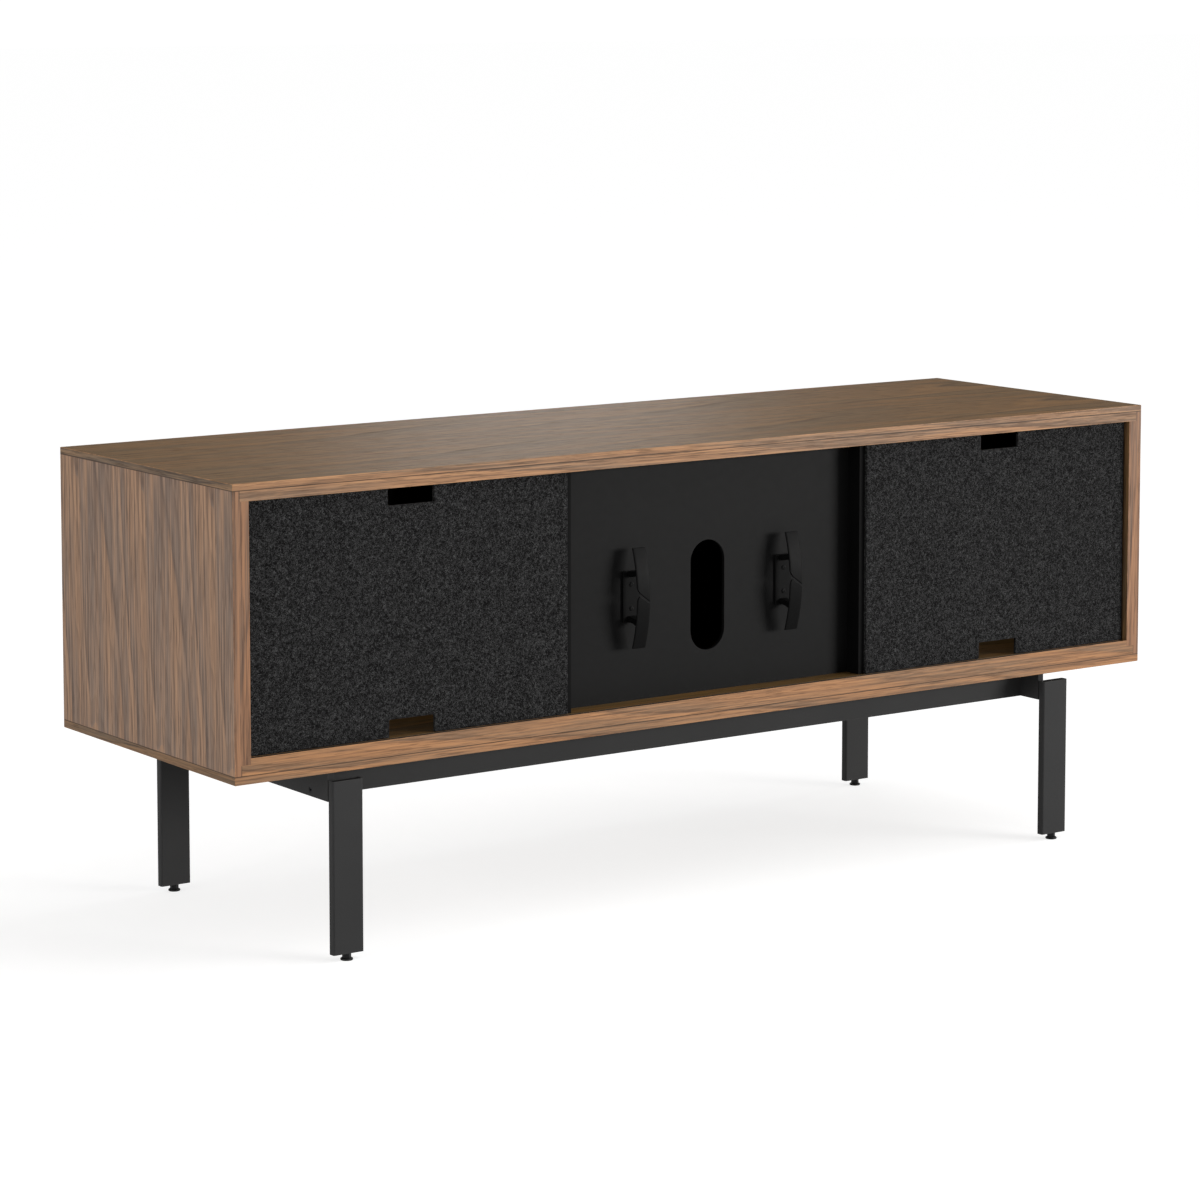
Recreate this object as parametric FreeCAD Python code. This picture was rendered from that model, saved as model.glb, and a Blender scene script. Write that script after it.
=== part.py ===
"""Media cabinet: walnut case on a black steel frame, with doors in front and felt covers behind.

Millimetres, +Z up.  The origin is on the floor, under the middle of the cabinet.
The cable side, with the felt covers, faces -Y.  The doors face +Y.
"""
import FreeCAD, Part
import math
import os

V = FreeCAD.Vector

# --- overall sizes ---------------------------------------------------------------------------
CASE_WIDTH = 1676.4
CASE_DEPTH = 508.0
CASE_HEIGHT = 417.2
GROUND_CLEARANCE = 270.0        # floor to underside of case

# --- case boards -----------------------------------------------------------------------------
TOP_THICK = 25.0
SIDE_THICK = 25.4
BOTTOM_THICK = 36.0
CORNER_TONGUE = 10.5            # outer part of a side that laps over the rabbeted ends
TOP_LAP = 10.0                  # top left over a side's tongue
BOTTOM_LAP = 12.0               # bottom left under a side's tongue
BOTTOM_SEAT = 27.0              # height on the bottom where the inner part of a side stands
EDGE_ROUND = 1.0                # eased outer edges
FLOOR_GROOVE_LIP = 1.5          # rear edge to a shallow groove in the floor
FLOOR_GROOVE_WIDTH = 7.0
FLOOR_GROOVE_DEPTH = 1.5

DIVIDER_THICK = 19.0
CENTRE_BAY_WIDTH = 537.0
DIVIDER_REAR_SETBACK = 14.5
DOOR_SETBACK = 12.0             # case front edge to door faces and divider edges

# --- centre back panel and cord cleats -------------------------------------------------------
BACK_PANEL_THICK = 6.0
BACK_PANEL_SETBACK = 43.0       # case rear edge to the panel's face
BACK_PANEL_GROOVE = 4.0         # how far it sits in each divider
CABLE_SLOT_WIDTH = 63.0
CABLE_SLOT_HEIGHT = 167.0
CABLE_SLOT_RISE = 145.5         # case floor to the middle of the slot

CLEAT_SPACING = 284.0
CLEAT_RISE = 156.5              # case floor to the middle of a cleat
CLEAT_PLATE_WIDTH = 31.0
CLEAT_PLATE_HEIGHT = 77.0
CLEAT_PLATE_THICK = 3.0
CLEAT_BOW_WIDTH = 23.0
CLEAT_BOW_HEIGHT = 150.0
CLEAT_BOW_THICK = 3.0
CLEAT_BOW_STANDOFF = 35.0       # panel face to the outer face at mid-height
CLEAT_BOW_RISE = 13.0           # how far the ends curve back
CLEAT_POST_WIDTH = 13.0
CLEAT_POST_ROOT = 9.0
CLEAT_POST_TIP = 14.0
CLEAT_POST_OFFSET = 40.0
CLEAT_SCREW_OFFSET = 18.0
CLEAT_PLATE_CORNER = 3.0
CLEAT_SCREW_RADIUS = 1.75
CLEAT_SCREW_IN_PANEL = 5.0
CLEAT_SCREW_HEAD_RADIUS = 3.5
CLEAT_SCREW_HEAD_HEIGHT = 2.0
CLEAT_SCREW_HEAD_CHAMFER = 1.0
UPPER_TONGUE_LEFT = 15.0        # middle of the cleat to the upper tongue's end, at its left edge
UPPER_TONGUE_BEND = 9.5         # the same, where the slant starts
UPPER_TONGUE_RIGHT = -5.0       # the same, at its right edge
LOWER_TONGUE_LEFT = -2.5
LOWER_TONGUE_BEND = 5.5
LOWER_TONGUE_RIGHT = -8.5
TONGUE_BEND_IN = 4.0            # left edge to the place where both ends bend

# --- felt covers -----------------------------------------------------------------------------
COVER_THICK = 5.4
COVER_EDGE_GAP = 3.3            # to the case side
COVER_END_GAP = 0.5             # to the top and the bottom
COVER_NOTCH_WIDTH = 76.2
COVER_NOTCH_HEIGHT = 25.4
COVER_CLEAT = 15.0              # square strip that backs a cover's outer edge
MAGNET_DIAMETER = 8.0
MAGNET_DEPTH = 4.0
DISC_THICK = 1.0
MAGNET_INSET = 60.0             # from the ends of the bay
MAGNET_EDGE = 1.0               # cover's inner edge to the disc

# --- doors -----------------------------------------------------------------------------------
DOOR_THICK = 19.0
DOOR_GAP = 2.5
PIVOT_INSET = 20.0              # door edge to pin centre
PIVOT_PIN_DIAMETER = 6.0
PIVOT_PIN_IN_CASE = 8.0
PIVOT_PIN_IN_DOOR = 10.0
PIVOT_PIN_COLLAR = 1.5          # collar's width round the pin
BUSH_DIAMETER = 10.0
BUSH_LENGTH = 12.0
KNOB_DIAMETER = 14.0
KNOB_NECK = 8.0
KNOB_LENGTH = 10.0
KNOB_RIM = 4.0                  # knob's face to the start of its taper
KNOB_NECK_START = 6.0           # knob's face to the neck
KNOB_CHAMFER = 1.0
KNOB_STUD = 12.0
KNOB_STUD_DIAMETER = 4.0
KNOB_INSET = 32.0               # door edge to knob centre
CATCH_LENGTH = 44.0
CATCH_DEPTH = 15.0
CATCH_HEIGHT = 14.0
CATCH_INSET = 34.0
STRIKE_LENGTH = 30.0
STRIKE_HEIGHT = 12.0
STRIKE_THICK = 1.0

# --- shelves ---------------------------------------------------------------------------------
SHELF_THICK = 18.0
SHELF_RISE = 164.0              # case floor to shelf underside
SHELF_REAR_SETBACK = 32.0
SHELF_FRONT_SETBACK = 49.0
SHELF_END_GAP = 1.0
SHELF_PIN_DIAMETER = 5.0
SHELF_PIN_LENGTH = 9.0
SHELF_PIN_HEAD = 7.0
SHELF_PIN_HEAD_LENGTH = 8.0
SHELF_PIN_INSET = 41.0          # shelf edge to pin centre
SHELF_HOLE_PITCH = 32.0

DOWEL_DIAMETER = 8.0
DOWEL_IN_CASE = 12.0
DOWEL_IN_DIVIDER = 18.0
DOWEL_SPACING = 160.0

# --- steel frame -----------------------------------------------------------------------------
LEG_WIDTH = 50.0
LEG_DEPTH = 13.0
LEG_WALL = 1.6
LEG_ROUND = 3.0
LEG_INSET = 154.2               # case end to the leg's outer face
LEG_PROUD = 2.0                 # leg face beyond the case edge
LEG_TOP_GAP = 12.7              # leg top to case underside
LEG_BOTTOM = 10.0
BAR_THICK = 10.0
BAR_HEIGHT = 43.0
BEAM_SETBACK = 53.0             # case edge to the beam's face
TAB_THICK = 3.0
TAB_LENGTH = 40.0
TAB_DEPTH = 30.0
TAB_SPACING = 560.0
CAP_HEIGHT = 8.0
CAP_SUNK = 1.0                  # leg top to cap
INSERT_HEIGHT = 46.0
INSERT_ROOF = 5.0               # solid top of an insert, above its bore
FRAME_BOLT_DIAMETER = 5.0
FRAME_BOLT_HEAD = 8.5
FRAME_BOLT_HEAD_DEPTH = 5.0
FRAME_BOLT_IN_BEAM = 20.0
FRAME_BOLT_DROP = 34.0          # case underside to bolt centre
FRAME_BOLT_SUNK = 0.5
FRAME_BOLT_SOCKET_RADIUS = 2.0
FRAME_BOLT_SOCKET_DEPTH = 2.5
BASE_SCREW_RADIUS = 2.5
BASE_SCREW_IN_CASE = 20.0
BASE_SCREW_HEAD_RADIUS = 5.0
BASE_SCREW_HEAD_HEIGHT = 3.0
BASE_SCREW_HEAD_CHAMFER = 1.0

FOOT_PAD_DIAMETER = 18.0
FOOT_PAD_HEIGHT = 3.0
FOOT_PAD_LOWER_CHAMFER = 0.8
FOOT_PAD_UPPER_CHAMFER = 1.0
FOOT_COLLAR_DIAMETER = 13.0
FOOT_STUD_DIAMETER = 7.6
FOOT_STUD_LENGTH = 30.0

# --- fits ------------------------------------------------------------------------------------
MOVING_GAP = 0.3                # between faces on different bodies
PIN_CLEARANCE = 0.05            # radial, a pivot pin in its bush
HOLE_CLEARANCE = 0.1            # radial, a fixed pin or screw in its hole

# --- places worked out from the sizes --------------------------------------------------------
Z0 = GROUND_CLEARANCE
Z_TOP = Z0 + CASE_HEIGHT
Z_FLOOR = Z0 + BOTTOM_THICK
Z_CEILING = Z_TOP - TOP_THICK
Z_MIDDLE = (Z_FLOOR + Z_CEILING) / 2
Y_REAR = -CASE_DEPTH / 2
Y_FRONT = CASE_DEPTH / 2
HALF_WIDTH = CASE_WIDTH / 2
SIDE_INNER = HALF_WIDTH - SIDE_THICK
DIVIDER_INNER = CENTRE_BAY_WIDTH / 2
DIVIDER_OUTER = DIVIDER_INNER + DIVIDER_THICK
Y_DIVIDER_REAR = Y_REAR + DIVIDER_REAR_SETBACK
Y_DOOR_FACE = Y_FRONT - DOOR_SETBACK
Y_DOOR_BACK = Y_DOOR_FACE - DOOR_THICK
Y_PIVOT = Y_DOOR_FACE - DOOR_THICK / 2
X_PIVOT = SIDE_INNER - DOOR_GAP - PIVOT_INSET
Z_PIVOT = Z_FLOOR + DOOR_GAP + PIVOT_INSET
Z_DOOR_LOW = Z_FLOOR + DOOR_GAP
Z_DOOR_HIGH = Z_CEILING - DOOR_GAP
Y_PANEL = Y_REAR + BACK_PANEL_SETBACK
Z_SLOT = Z_FLOOR + CABLE_SLOT_RISE
Z_CLEAT = Z_FLOOR + CLEAT_RISE
COVER_INNER = (DIVIDER_INNER + DIVIDER_OUTER) / 2
COVER_OUTER = SIDE_INNER - COVER_EDGE_GAP
COVER_MAGNET_X = (COVER_INNER + MAGNET_EDGE + MAGNET_DIAMETER / 2, SIDE_INNER - COVER_CLEAT / 2)
COVER_MAGNET_Z = (Z_FLOOR + MAGNET_INSET, Z_CEILING - MAGNET_INSET)
X_LEG = HALF_WIDTH - LEG_INSET
Z_LEG_TOP = Z0 - LEG_TOP_GAP
Y_LEG_FACE = Y_REAR - LEG_PROUD
Y_LEG_BACK = Y_LEG_FACE + LEG_DEPTH
Z_BAR = Z0 - BAR_HEIGHT
Y_BEAM = Y_REAR + BEAM_SETBACK
Z_SHELF = Z_FLOOR + SHELF_RISE
Y_SHELF_REAR = Y_REAR + SHELF_REAR_SETBACK
Y_SHELF_FRONT = Y_FRONT - SHELF_FRONT_SETBACK
Z_SHELF_PIN = Z_SHELF - SHELF_PIN_HEAD / 2
SHELF_PIN_Y = (Y_SHELF_REAR + SHELF_PIN_INSET, Y_SHELF_FRONT - SHELF_PIN_INSET)

SIDES = {"left": -1, "right": 1}
ENDS = {"rear": 1, "front": -1}     # the sign turns a place at the rear into one at that end


# --- helpers ---------------------------------------------------------------------------------
def block(x0, x1, y0, y1, z0, z1):
    """A box between two corners, given in any order."""
    low = V(min(x0, x1), min(y0, y1), min(z0, z1))
    return Part.makeBox(abs(x1 - x0), abs(y1 - y0), abs(z1 - z0), low)


def rod(radius, start, axis, length):
    """A cylinder from start along axis."""
    return Part.makeCylinder(radius, length, V(*start), V(*axis))


def prism_x(points, x0, x1):
    """A closed outline in YZ carried along X."""
    wire = Part.makePolygon([V(x0, y, z) for y, z in points + points[:1]])
    return Part.Face(wire).extrude(V(x1 - x0, 0, 0))


def prism_y(points, y0, y1):
    """A closed outline in XZ carried along Y."""
    wire = Part.makePolygon([V(x, y0, z) for x, z in points + points[:1]])
    return Part.Face(wire).extrude(V(0, y1 - y0, 0))


def revolve_y(points, x, y, z):
    """A profile of (radius, distance along Y) turned about a line along Y."""
    ring = [V(x + r, y + d, z) for r, d in points]
    face = Part.Face(Part.makePolygon(ring + ring[:1]))
    return face.revolve(V(x, y, z), V(0, 1, 0), 360)


def revolve_z(points, x, y):
    """A profile of (radius, height) turned about a vertical line."""
    ring = [V(x + r, y, z) for r, z in points]
    face = Part.Face(Part.makePolygon(ring + ring[:1]))
    return face.revolve(V(x, y, 0), V(0, 0, 1), 360)


def edges_where(shape, test):
    """Straight edges whose two end points both pass the test."""
    chosen = []
    for edge in shape.Edges:
        ends = [v.Point for v in edge.Vertexes]
        if len(ends) == 2 and test(*ends):
            chosen.append(edge)
    return chosen


def same(a, b):
    return abs(a - b) < 1e-6


def cut_all(shape, tools):
    return shape.cut(tools) if tools else shape


def save(name, shapes):
    """Write one node: a solid, or a group of separate solids."""
    shapes = shapes if isinstance(shapes, list) else [shapes]
    solids = [solid for shape in shapes for solid in shape.Solids]
    for solid in solids:
        assert solid.isValid() and solid.Volume > 0, name
    group = solids[0] if len(solids) == 1 else Part.makeCompound(solids)
    group.exportStep("parts/" + name + ".step")


# --- places shared by holes and the pieces in them -------------------------------------------
def tab_places():
    """Middle of each fixing tab: X, and the side of the cabinet it is on."""
    return [(i * TAB_SPACING, end) for end in ENDS.values() for i in (-1, 0, 1)]


def tab_centre_y(end):
    return end * (Y_BEAM + BAR_THICK + TAB_DEPTH / 2)


def dowel_places():
    return [(side * (DIVIDER_INNER + DIVIDER_THICK / 2), i * DOWEL_SPACING)
            for side in SIDES.values() for i in (-1, 0, 1)]


def shelf_pin_places(side, height):
    """Pins of one shelf: wall face, direction into the wall, Y and Z."""
    walls = ((side * SIDE_INNER, side), (side * DIVIDER_OUTER, -side))
    return [(x, into, y, height) for x, into in walls for y in SHELF_PIN_Y]


def shelf_hole_places(side):
    heights = [Z_SHELF_PIN + i * SHELF_HOLE_PITCH for i in (-1, 0, 1)]
    return [place for z in heights for place in shelf_pin_places(side, z)]


def magnet_places(side):
    return [(side * x, z) for x in COVER_MAGNET_X for z in COVER_MAGNET_Z]


# --- case ------------------------------------------------------------------------------------
def ease_outside(shape):
    """Round the case's outer long edges and corners on this board."""
    def outer(a, b):
        on_end = same(abs(a.x), HALF_WIDTH) and same(a.x, b.x)
        on_face = same(abs(a.y), CASE_DEPTH / 2) and same(a.y, b.y)
        on_top = same(a.z, Z_TOP) and same(b.z, Z_TOP)
        on_base = same(a.z, Z0) and same(b.z, Z0)
        level = same(a.z, b.z)
        return (on_end and on_face) or ((on_end or on_face) and level and (on_top or on_base))
    return shape.makeFillet(EDGE_ROUND, edges_where(shape, outer))


def door_pin_hole(side, z0, z1):
    radius = PIVOT_PIN_DIAMETER / 2 + HOLE_CLEARANCE
    return rod(radius, (side * X_PIVOT, Y_PIVOT, z0), (0, 0, 1), z1 - z0)


def top_panel():
    lap = HALF_WIDTH - CORNER_TONGUE
    outline = [(-HALF_WIDTH, Z_TOP), (-HALF_WIDTH, Z_TOP - TOP_LAP), (-lap, Z_TOP - TOP_LAP),
               (-lap, Z_CEILING), (lap, Z_CEILING), (lap, Z_TOP - TOP_LAP),
               (HALF_WIDTH, Z_TOP - TOP_LAP), (HALF_WIDTH, Z_TOP)]
    board = ease_outside(prism_y(outline, Y_REAR, Y_FRONT))
    holes = [door_pin_hole(s, Z_CEILING, Z_CEILING + PIVOT_PIN_IN_CASE + HOLE_CLEARANCE)
             for s in SIDES.values()]
    holes += [rod(DOWEL_DIAMETER / 2 + HOLE_CLEARANCE, (x, y, Z_CEILING), (0, 0, 1),
                  DOWEL_IN_CASE + HOLE_CLEARANCE) for x, y in dowel_places()]
    return cut_all(board, holes)


def bottom_panel():
    lap = HALF_WIDTH - CORNER_TONGUE
    step = Z0 + BOTTOM_SEAT
    shelf = Z0 + BOTTOM_LAP
    outline = [(-HALF_WIDTH, Z0), (HALF_WIDTH, Z0), (HALF_WIDTH, shelf), (lap, shelf),
               (lap, step), (SIDE_INNER, step), (SIDE_INNER, Z_FLOOR), (-SIDE_INNER, Z_FLOOR),
               (-SIDE_INNER, step), (-lap, step), (-lap, shelf), (-HALF_WIDTH, shelf)]
    board = ease_outside(prism_y(outline, Y_REAR, Y_FRONT))
    holes = [door_pin_hole(s, Z_FLOOR - PIVOT_PIN_IN_CASE - HOLE_CLEARANCE, Z_FLOOR)
             for s in SIDES.values()]
    holes += [rod(DOWEL_DIAMETER / 2 + HOLE_CLEARANCE, (x, y, Z_FLOOR), (0, 0, -1),
                  DOWEL_IN_CASE + HOLE_CLEARANCE) for x, y in dowel_places()]
    holes += [rod(BASE_SCREW_RADIUS + HOLE_CLEARANCE, (x, tab_centre_y(end), Z0), (0, 0, 1),
                  BASE_SCREW_IN_CASE + HOLE_CLEARANCE) for x, end in tab_places()]
    groove = block(-SIDE_INNER, SIDE_INNER, Y_REAR + FLOOR_GROOVE_LIP,
                   Y_REAR + FLOOR_GROOVE_LIP + FLOOR_GROOVE_WIDTH, Z_FLOOR - FLOOR_GROOVE_DEPTH,
                   Z_FLOOR)
    return cut_all(board, holes + [groove])


def side_panel(side):
    lap = HALF_WIDTH - CORNER_TONGUE
    outline = [(side * HALF_WIDTH, Z0 + BOTTOM_LAP), (side * HALF_WIDTH, Z_TOP - TOP_LAP),
               (side * lap, Z_TOP - TOP_LAP), (side * lap, Z_CEILING),
               (side * SIDE_INNER, Z_CEILING), (side * SIDE_INNER, Z0 + BOTTOM_SEAT),
               (side * lap, Z0 + BOTTOM_SEAT), (side * lap, Z0 + BOTTOM_LAP)]
    board = ease_outside(prism_y(outline, Y_REAR, Y_FRONT))
    holes = [shelf_hole(*place) for place in shelf_hole_places(side)
             if same(abs(place[0]), SIDE_INNER)]
    return cut_all(board, holes)


def shelf_hole(x, into, y, z):
    radius = SHELF_PIN_DIAMETER / 2 + HOLE_CLEARANCE
    return rod(radius, (x, y, z), (into, 0, 0), SHELF_PIN_LENGTH + HOLE_CLEARANCE)


def divider(side):
    board = block(side * DIVIDER_INNER, side * DIVIDER_OUTER, Y_DIVIDER_REAR, Y_DOOR_FACE,
                  Z_FLOOR, Z_CEILING)
    groove = block(side * (DIVIDER_INNER - 1), side * (DIVIDER_INNER + BACK_PANEL_GROOVE
                   + HOLE_CLEARANCE), Y_PANEL - HOLE_CLEARANCE,
                   Y_PANEL + BACK_PANEL_THICK + HOLE_CLEARANCE, Z_FLOOR, Z_CEILING)
    holes = [groove]
    holes += [shelf_hole(*place) for place in shelf_hole_places(side)
              if same(abs(place[0]), DIVIDER_OUTER)]
    holes += [rod(PIVOT_PIN_DIAMETER / 2 + HOLE_CLEARANCE, (side * DIVIDER_INNER, Y_PIVOT, Z_PIVOT),
                  (side, 0, 0), PIVOT_PIN_IN_CASE + HOLE_CLEARANCE)]
    for x, y in dowel_places():
        if x * side > 0:
            for z, up in ((Z_FLOOR, 1), (Z_CEILING, -1)):
                holes.append(rod(DOWEL_DIAMETER / 2 + HOLE_CLEARANCE, (x, y, z), (0, 0, up),
                                 DOWEL_IN_DIVIDER + HOLE_CLEARANCE))
    holes += [magnet_bore(x, z) for x, z in magnet_places(side) if abs(x) < DIVIDER_OUTER]
    return cut_all(board, holes)


def magnet_bore(x, z):
    radius = MAGNET_DIAMETER / 2 + HOLE_CLEARANCE
    return rod(radius, (x, Y_DIVIDER_REAR, z), (0, 1, 0), MAGNET_DEPTH + HOLE_CLEARANCE)


def dowels():
    length = DOWEL_IN_CASE + DOWEL_IN_DIVIDER
    shapes = []
    for x, y in dowel_places():
        shapes.append(rod(DOWEL_DIAMETER / 2, (x, y, Z_FLOOR - DOWEL_IN_CASE), (0, 0, 1), length))
        shapes.append(rod(DOWEL_DIAMETER / 2, (x, y, Z_CEILING + DOWEL_IN_CASE), (0, 0, -1), length))
    return shapes


# --- centre back panel and cord cleats -------------------------------------------------------
def cleat_screw_places():
    return [(side * CLEAT_SPACING / 2, Z_CLEAT + up * CLEAT_SCREW_OFFSET)
            for side in SIDES.values() for up in (-1, 1)]


def centre_back_panel():
    half = DIVIDER_INNER + BACK_PANEL_GROOVE
    y0, y1 = Y_PANEL, Y_PANEL + BACK_PANEL_THICK
    board = block(-half, half, y0, y1, Z_FLOOR, Z_CEILING)
    radius = CABLE_SLOT_WIDTH / 2
    straight = CABLE_SLOT_HEIGHT / 2 - radius
    middle = block(-radius, radius, y0 - 1, y1 + 1, Z_SLOT - straight, Z_SLOT + straight)
    ends = [rod(radius, (0, y0 - 1, Z_SLOT + up * straight), (0, 1, 0), BACK_PANEL_THICK + 2)
            for up in (-1, 1)]
    slot = middle.fuse(ends).removeSplitter()
    holes = [slot]
    holes += [rod(CLEAT_SCREW_RADIUS + HOLE_CLEARANCE, (x, y0, z), (0, 1, 0),
                  CLEAT_SCREW_IN_PANEL + HOLE_CLEARANCE) for x, z in cleat_screw_places()]
    return cut_all(board, holes)


def cleat_bow(x):
    """Upper and lower tongues of a curved strip, parted by a slanted gap for the cord."""
    half = CLEAT_BOW_HEIGHT / 2
    radius = (half ** 2 + CLEAT_BOW_RISE ** 2) / (2 * CLEAT_BOW_RISE)
    y_outer = Y_PANEL - CLEAT_BOW_STANDOFF
    centre = (x - CLEAT_BOW_WIDTH / 2, y_outer + radius, Z_CLEAT)
    shell = rod(radius, centre, (1, 0, 0), CLEAT_BOW_WIDTH)
    shell = shell.cut(rod(radius - CLEAT_BOW_THICK, centre, (1, 0, 0), CLEAT_BOW_WIDTH))
    x0, x1 = x - CLEAT_BOW_WIDTH / 2, x + CLEAT_BOW_WIDTH / 2
    strip = shell.common(block(x0, x1, y_outer - 1, Y_PANEL, Z_CLEAT - half, Z_CLEAT + half))
    bend = x0 + TONGUE_BEND_IN
    gap = [(x0 - 1, Z_CLEAT + UPPER_TONGUE_LEFT), (bend, Z_CLEAT + UPPER_TONGUE_BEND),
           (x1 + 1, Z_CLEAT + UPPER_TONGUE_RIGHT), (x1 + 1, Z_CLEAT + LOWER_TONGUE_RIGHT),
           (bend, Z_CLEAT + LOWER_TONGUE_BEND), (x0 - 1, Z_CLEAT + LOWER_TONGUE_LEFT)]
    return strip.cut(prism_y(gap, y_outer - 1, Y_PANEL))


def cleat_post(x, up):
    """A post that tapers from the plate to the back of the bow."""
    half = CLEAT_BOW_HEIGHT / 2
    radius = (half ** 2 + CLEAT_BOW_RISE ** 2) / (2 * CLEAT_BOW_RISE)
    drop = radius - math.sqrt(radius ** 2 - CLEAT_POST_OFFSET ** 2)
    y_tip = Y_PANEL - CLEAT_BOW_STANDOFF + CLEAT_BOW_THICK / 2 + drop
    y_root = Y_PANEL - CLEAT_PLATE_THICK / 2
    end = CLEAT_PLATE_HEIGHT / 2
    points = [(y_root, Z_CLEAT + up * end), (y_root, Z_CLEAT + up * (end - CLEAT_POST_ROOT)),
              (y_tip, Z_CLEAT + up * (CLEAT_POST_OFFSET - CLEAT_POST_TIP / 2)),
              (y_tip, Z_CLEAT + up * (CLEAT_POST_OFFSET + CLEAT_POST_TIP / 2))]
    return prism_x(points, x - CLEAT_POST_WIDTH / 2, x + CLEAT_POST_WIDTH / 2)


def cord_cleat(side):
    x = side * CLEAT_SPACING / 2
    plate = block(x - CLEAT_PLATE_WIDTH / 2, x + CLEAT_PLATE_WIDTH / 2, Y_PANEL - CLEAT_PLATE_THICK,
                  Y_PANEL, Z_CLEAT - CLEAT_PLATE_HEIGHT / 2, Z_CLEAT + CLEAT_PLATE_HEIGHT / 2)
    uprights = edges_where(plate, lambda a, b: same(a.z, b.z) and same(a.x, b.x))
    plate = plate.makeFillet(CLEAT_PLATE_CORNER, uprights)
    body = plate.fuse([cleat_post(x, 1), cleat_post(x, -1), cleat_bow(x)]).removeSplitter()
    holes = [rod(CLEAT_SCREW_RADIUS + HOLE_CLEARANCE, (hx, Y_PANEL + 1, z), (0, -1, 0),
                 CLEAT_PLATE_THICK + 2) for hx, z in cleat_screw_places() if same(hx, x)]
    return cut_all(body, holes)


def cleat_screws():
    shapes = []
    for x, z in cleat_screw_places():
        face = Y_PANEL - CLEAT_PLATE_THICK
        length = CLEAT_PLATE_THICK + CLEAT_SCREW_IN_PANEL
        crown = CLEAT_SCREW_HEAD_RADIUS - CLEAT_SCREW_HEAD_CHAMFER
        profile = [(0, -CLEAT_SCREW_HEAD_HEIGHT), (crown, -CLEAT_SCREW_HEAD_HEIGHT),
                   (CLEAT_SCREW_HEAD_RADIUS, CLEAT_SCREW_HEAD_CHAMFER - CLEAT_SCREW_HEAD_HEIGHT),
                   (CLEAT_SCREW_HEAD_RADIUS, 0), (CLEAT_SCREW_RADIUS, 0),
                   (CLEAT_SCREW_RADIUS, length), (0, length)]
        shapes.append(revolve_y(profile, x, face, z))
    return shapes


# --- felt covers -----------------------------------------------------------------------------
def felt_cover(side):
    y1 = Y_DIVIDER_REAR - MOVING_GAP
    y0 = y1 - COVER_THICK
    low, high = Z_FLOOR + COVER_END_GAP, Z_CEILING - COVER_END_GAP
    sheet = block(side * COVER_INNER, side * COVER_OUTER, y0, y1, low, high)
    middle = side * (COVER_INNER + SIDE_INNER) / 2
    notches = [block(middle - COVER_NOTCH_WIDTH / 2, middle + COVER_NOTCH_WIDTH / 2, y0 - 1, y1 + 1,
                     z - COVER_NOTCH_HEIGHT, z + COVER_NOTCH_HEIGHT) for z in (low, high)]
    seats = [rod(MAGNET_DIAMETER / 2 + HOLE_CLEARANCE, (x, y1, z), (0, -1, 0), DISC_THICK)
             for x, z in magnet_places(side)]
    return cut_all(sheet, notches + seats)


def cover_discs(side):
    y1 = Y_DIVIDER_REAR - MOVING_GAP
    return [rod(MAGNET_DIAMETER / 2, (x, y1, z), (0, -1, 0), DISC_THICK)
            for x, z in magnet_places(side)]


def cover_magnets():
    return [rod(MAGNET_DIAMETER / 2, (x, Y_DIVIDER_REAR, z), (0, 1, 0), MAGNET_DEPTH)
            for side in SIDES.values() for x, z in magnet_places(side)]


def cover_cleat(side):
    strip = block(side * (SIDE_INNER - COVER_CLEAT), side * SIDE_INNER, Y_DIVIDER_REAR,
                  Y_DIVIDER_REAR + COVER_CLEAT, Z_FLOOR, Z_CEILING)
    return cut_all(strip, [magnet_bore(x, z) for x, z in magnet_places(side)
                           if abs(x) > DIVIDER_OUTER])


# --- doors -----------------------------------------------------------------------------------
def bush_hole(start, axis):
    return rod(BUSH_DIAMETER / 2 + HOLE_CLEARANCE, start, axis, BUSH_LENGTH + HOLE_CLEARANCE)


def bush(start, axis):
    outer = rod(BUSH_DIAMETER / 2, start, axis, BUSH_LENGTH)
    return outer.cut(rod(PIVOT_PIN_DIAMETER / 2 + PIN_CLEARANCE, start, axis, BUSH_LENGTH))


def side_door_bush_places(side):
    x = side * X_PIVOT
    return [((x, Y_PIVOT, Z_DOOR_LOW), (0, 0, 1)), ((x, Y_PIVOT, Z_DOOR_HIGH), (0, 0, -1))]


def flap_bush_places():
    half = DIVIDER_INNER - DOOR_GAP
    return [((side * half, Y_PIVOT, Z_PIVOT), (-side, 0, 0)) for side in SIDES.values()]


def door_slab(x0, x1, bushes, knob, strike):
    """A slab door with its bush holes, knob hole and strike recess."""
    slab = block(x0, x1, Y_DOOR_BACK, Y_DOOR_FACE, Z_DOOR_LOW, Z_DOOR_HIGH)
    front = edges_where(slab, lambda a, b: same(a.y, Y_DOOR_FACE) and same(b.y, Y_DOOR_FACE))
    slab = slab.makeFillet(EDGE_ROUND, front)
    holes = [bush_hole(start, axis) for start, axis in bushes]
    holes.append(rod(KNOB_STUD_DIAMETER / 2 + HOLE_CLEARANCE, (knob[0], Y_DOOR_FACE, knob[1]),
                     (0, -1, 0), KNOB_STUD + HOLE_CLEARANCE))
    holes.append(strike)
    return cut_all(slab, holes)


def strike_plate(x, gap=0.0):
    half = STRIKE_LENGTH / 2 + gap
    z = Z_CEILING - CATCH_HEIGHT / 2
    return block(x - half, x + half, Y_DOOR_BACK, Y_DOOR_BACK + STRIKE_THICK,
                 z - STRIKE_HEIGHT / 2 - gap, z + STRIKE_HEIGHT / 2 + gap)


def side_catch_x(side):
    return side * (DIVIDER_OUTER + CATCH_INSET)


def side_knob(side):
    return side * (DIVIDER_OUTER + DOOR_GAP + KNOB_INSET), Z_MIDDLE


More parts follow.
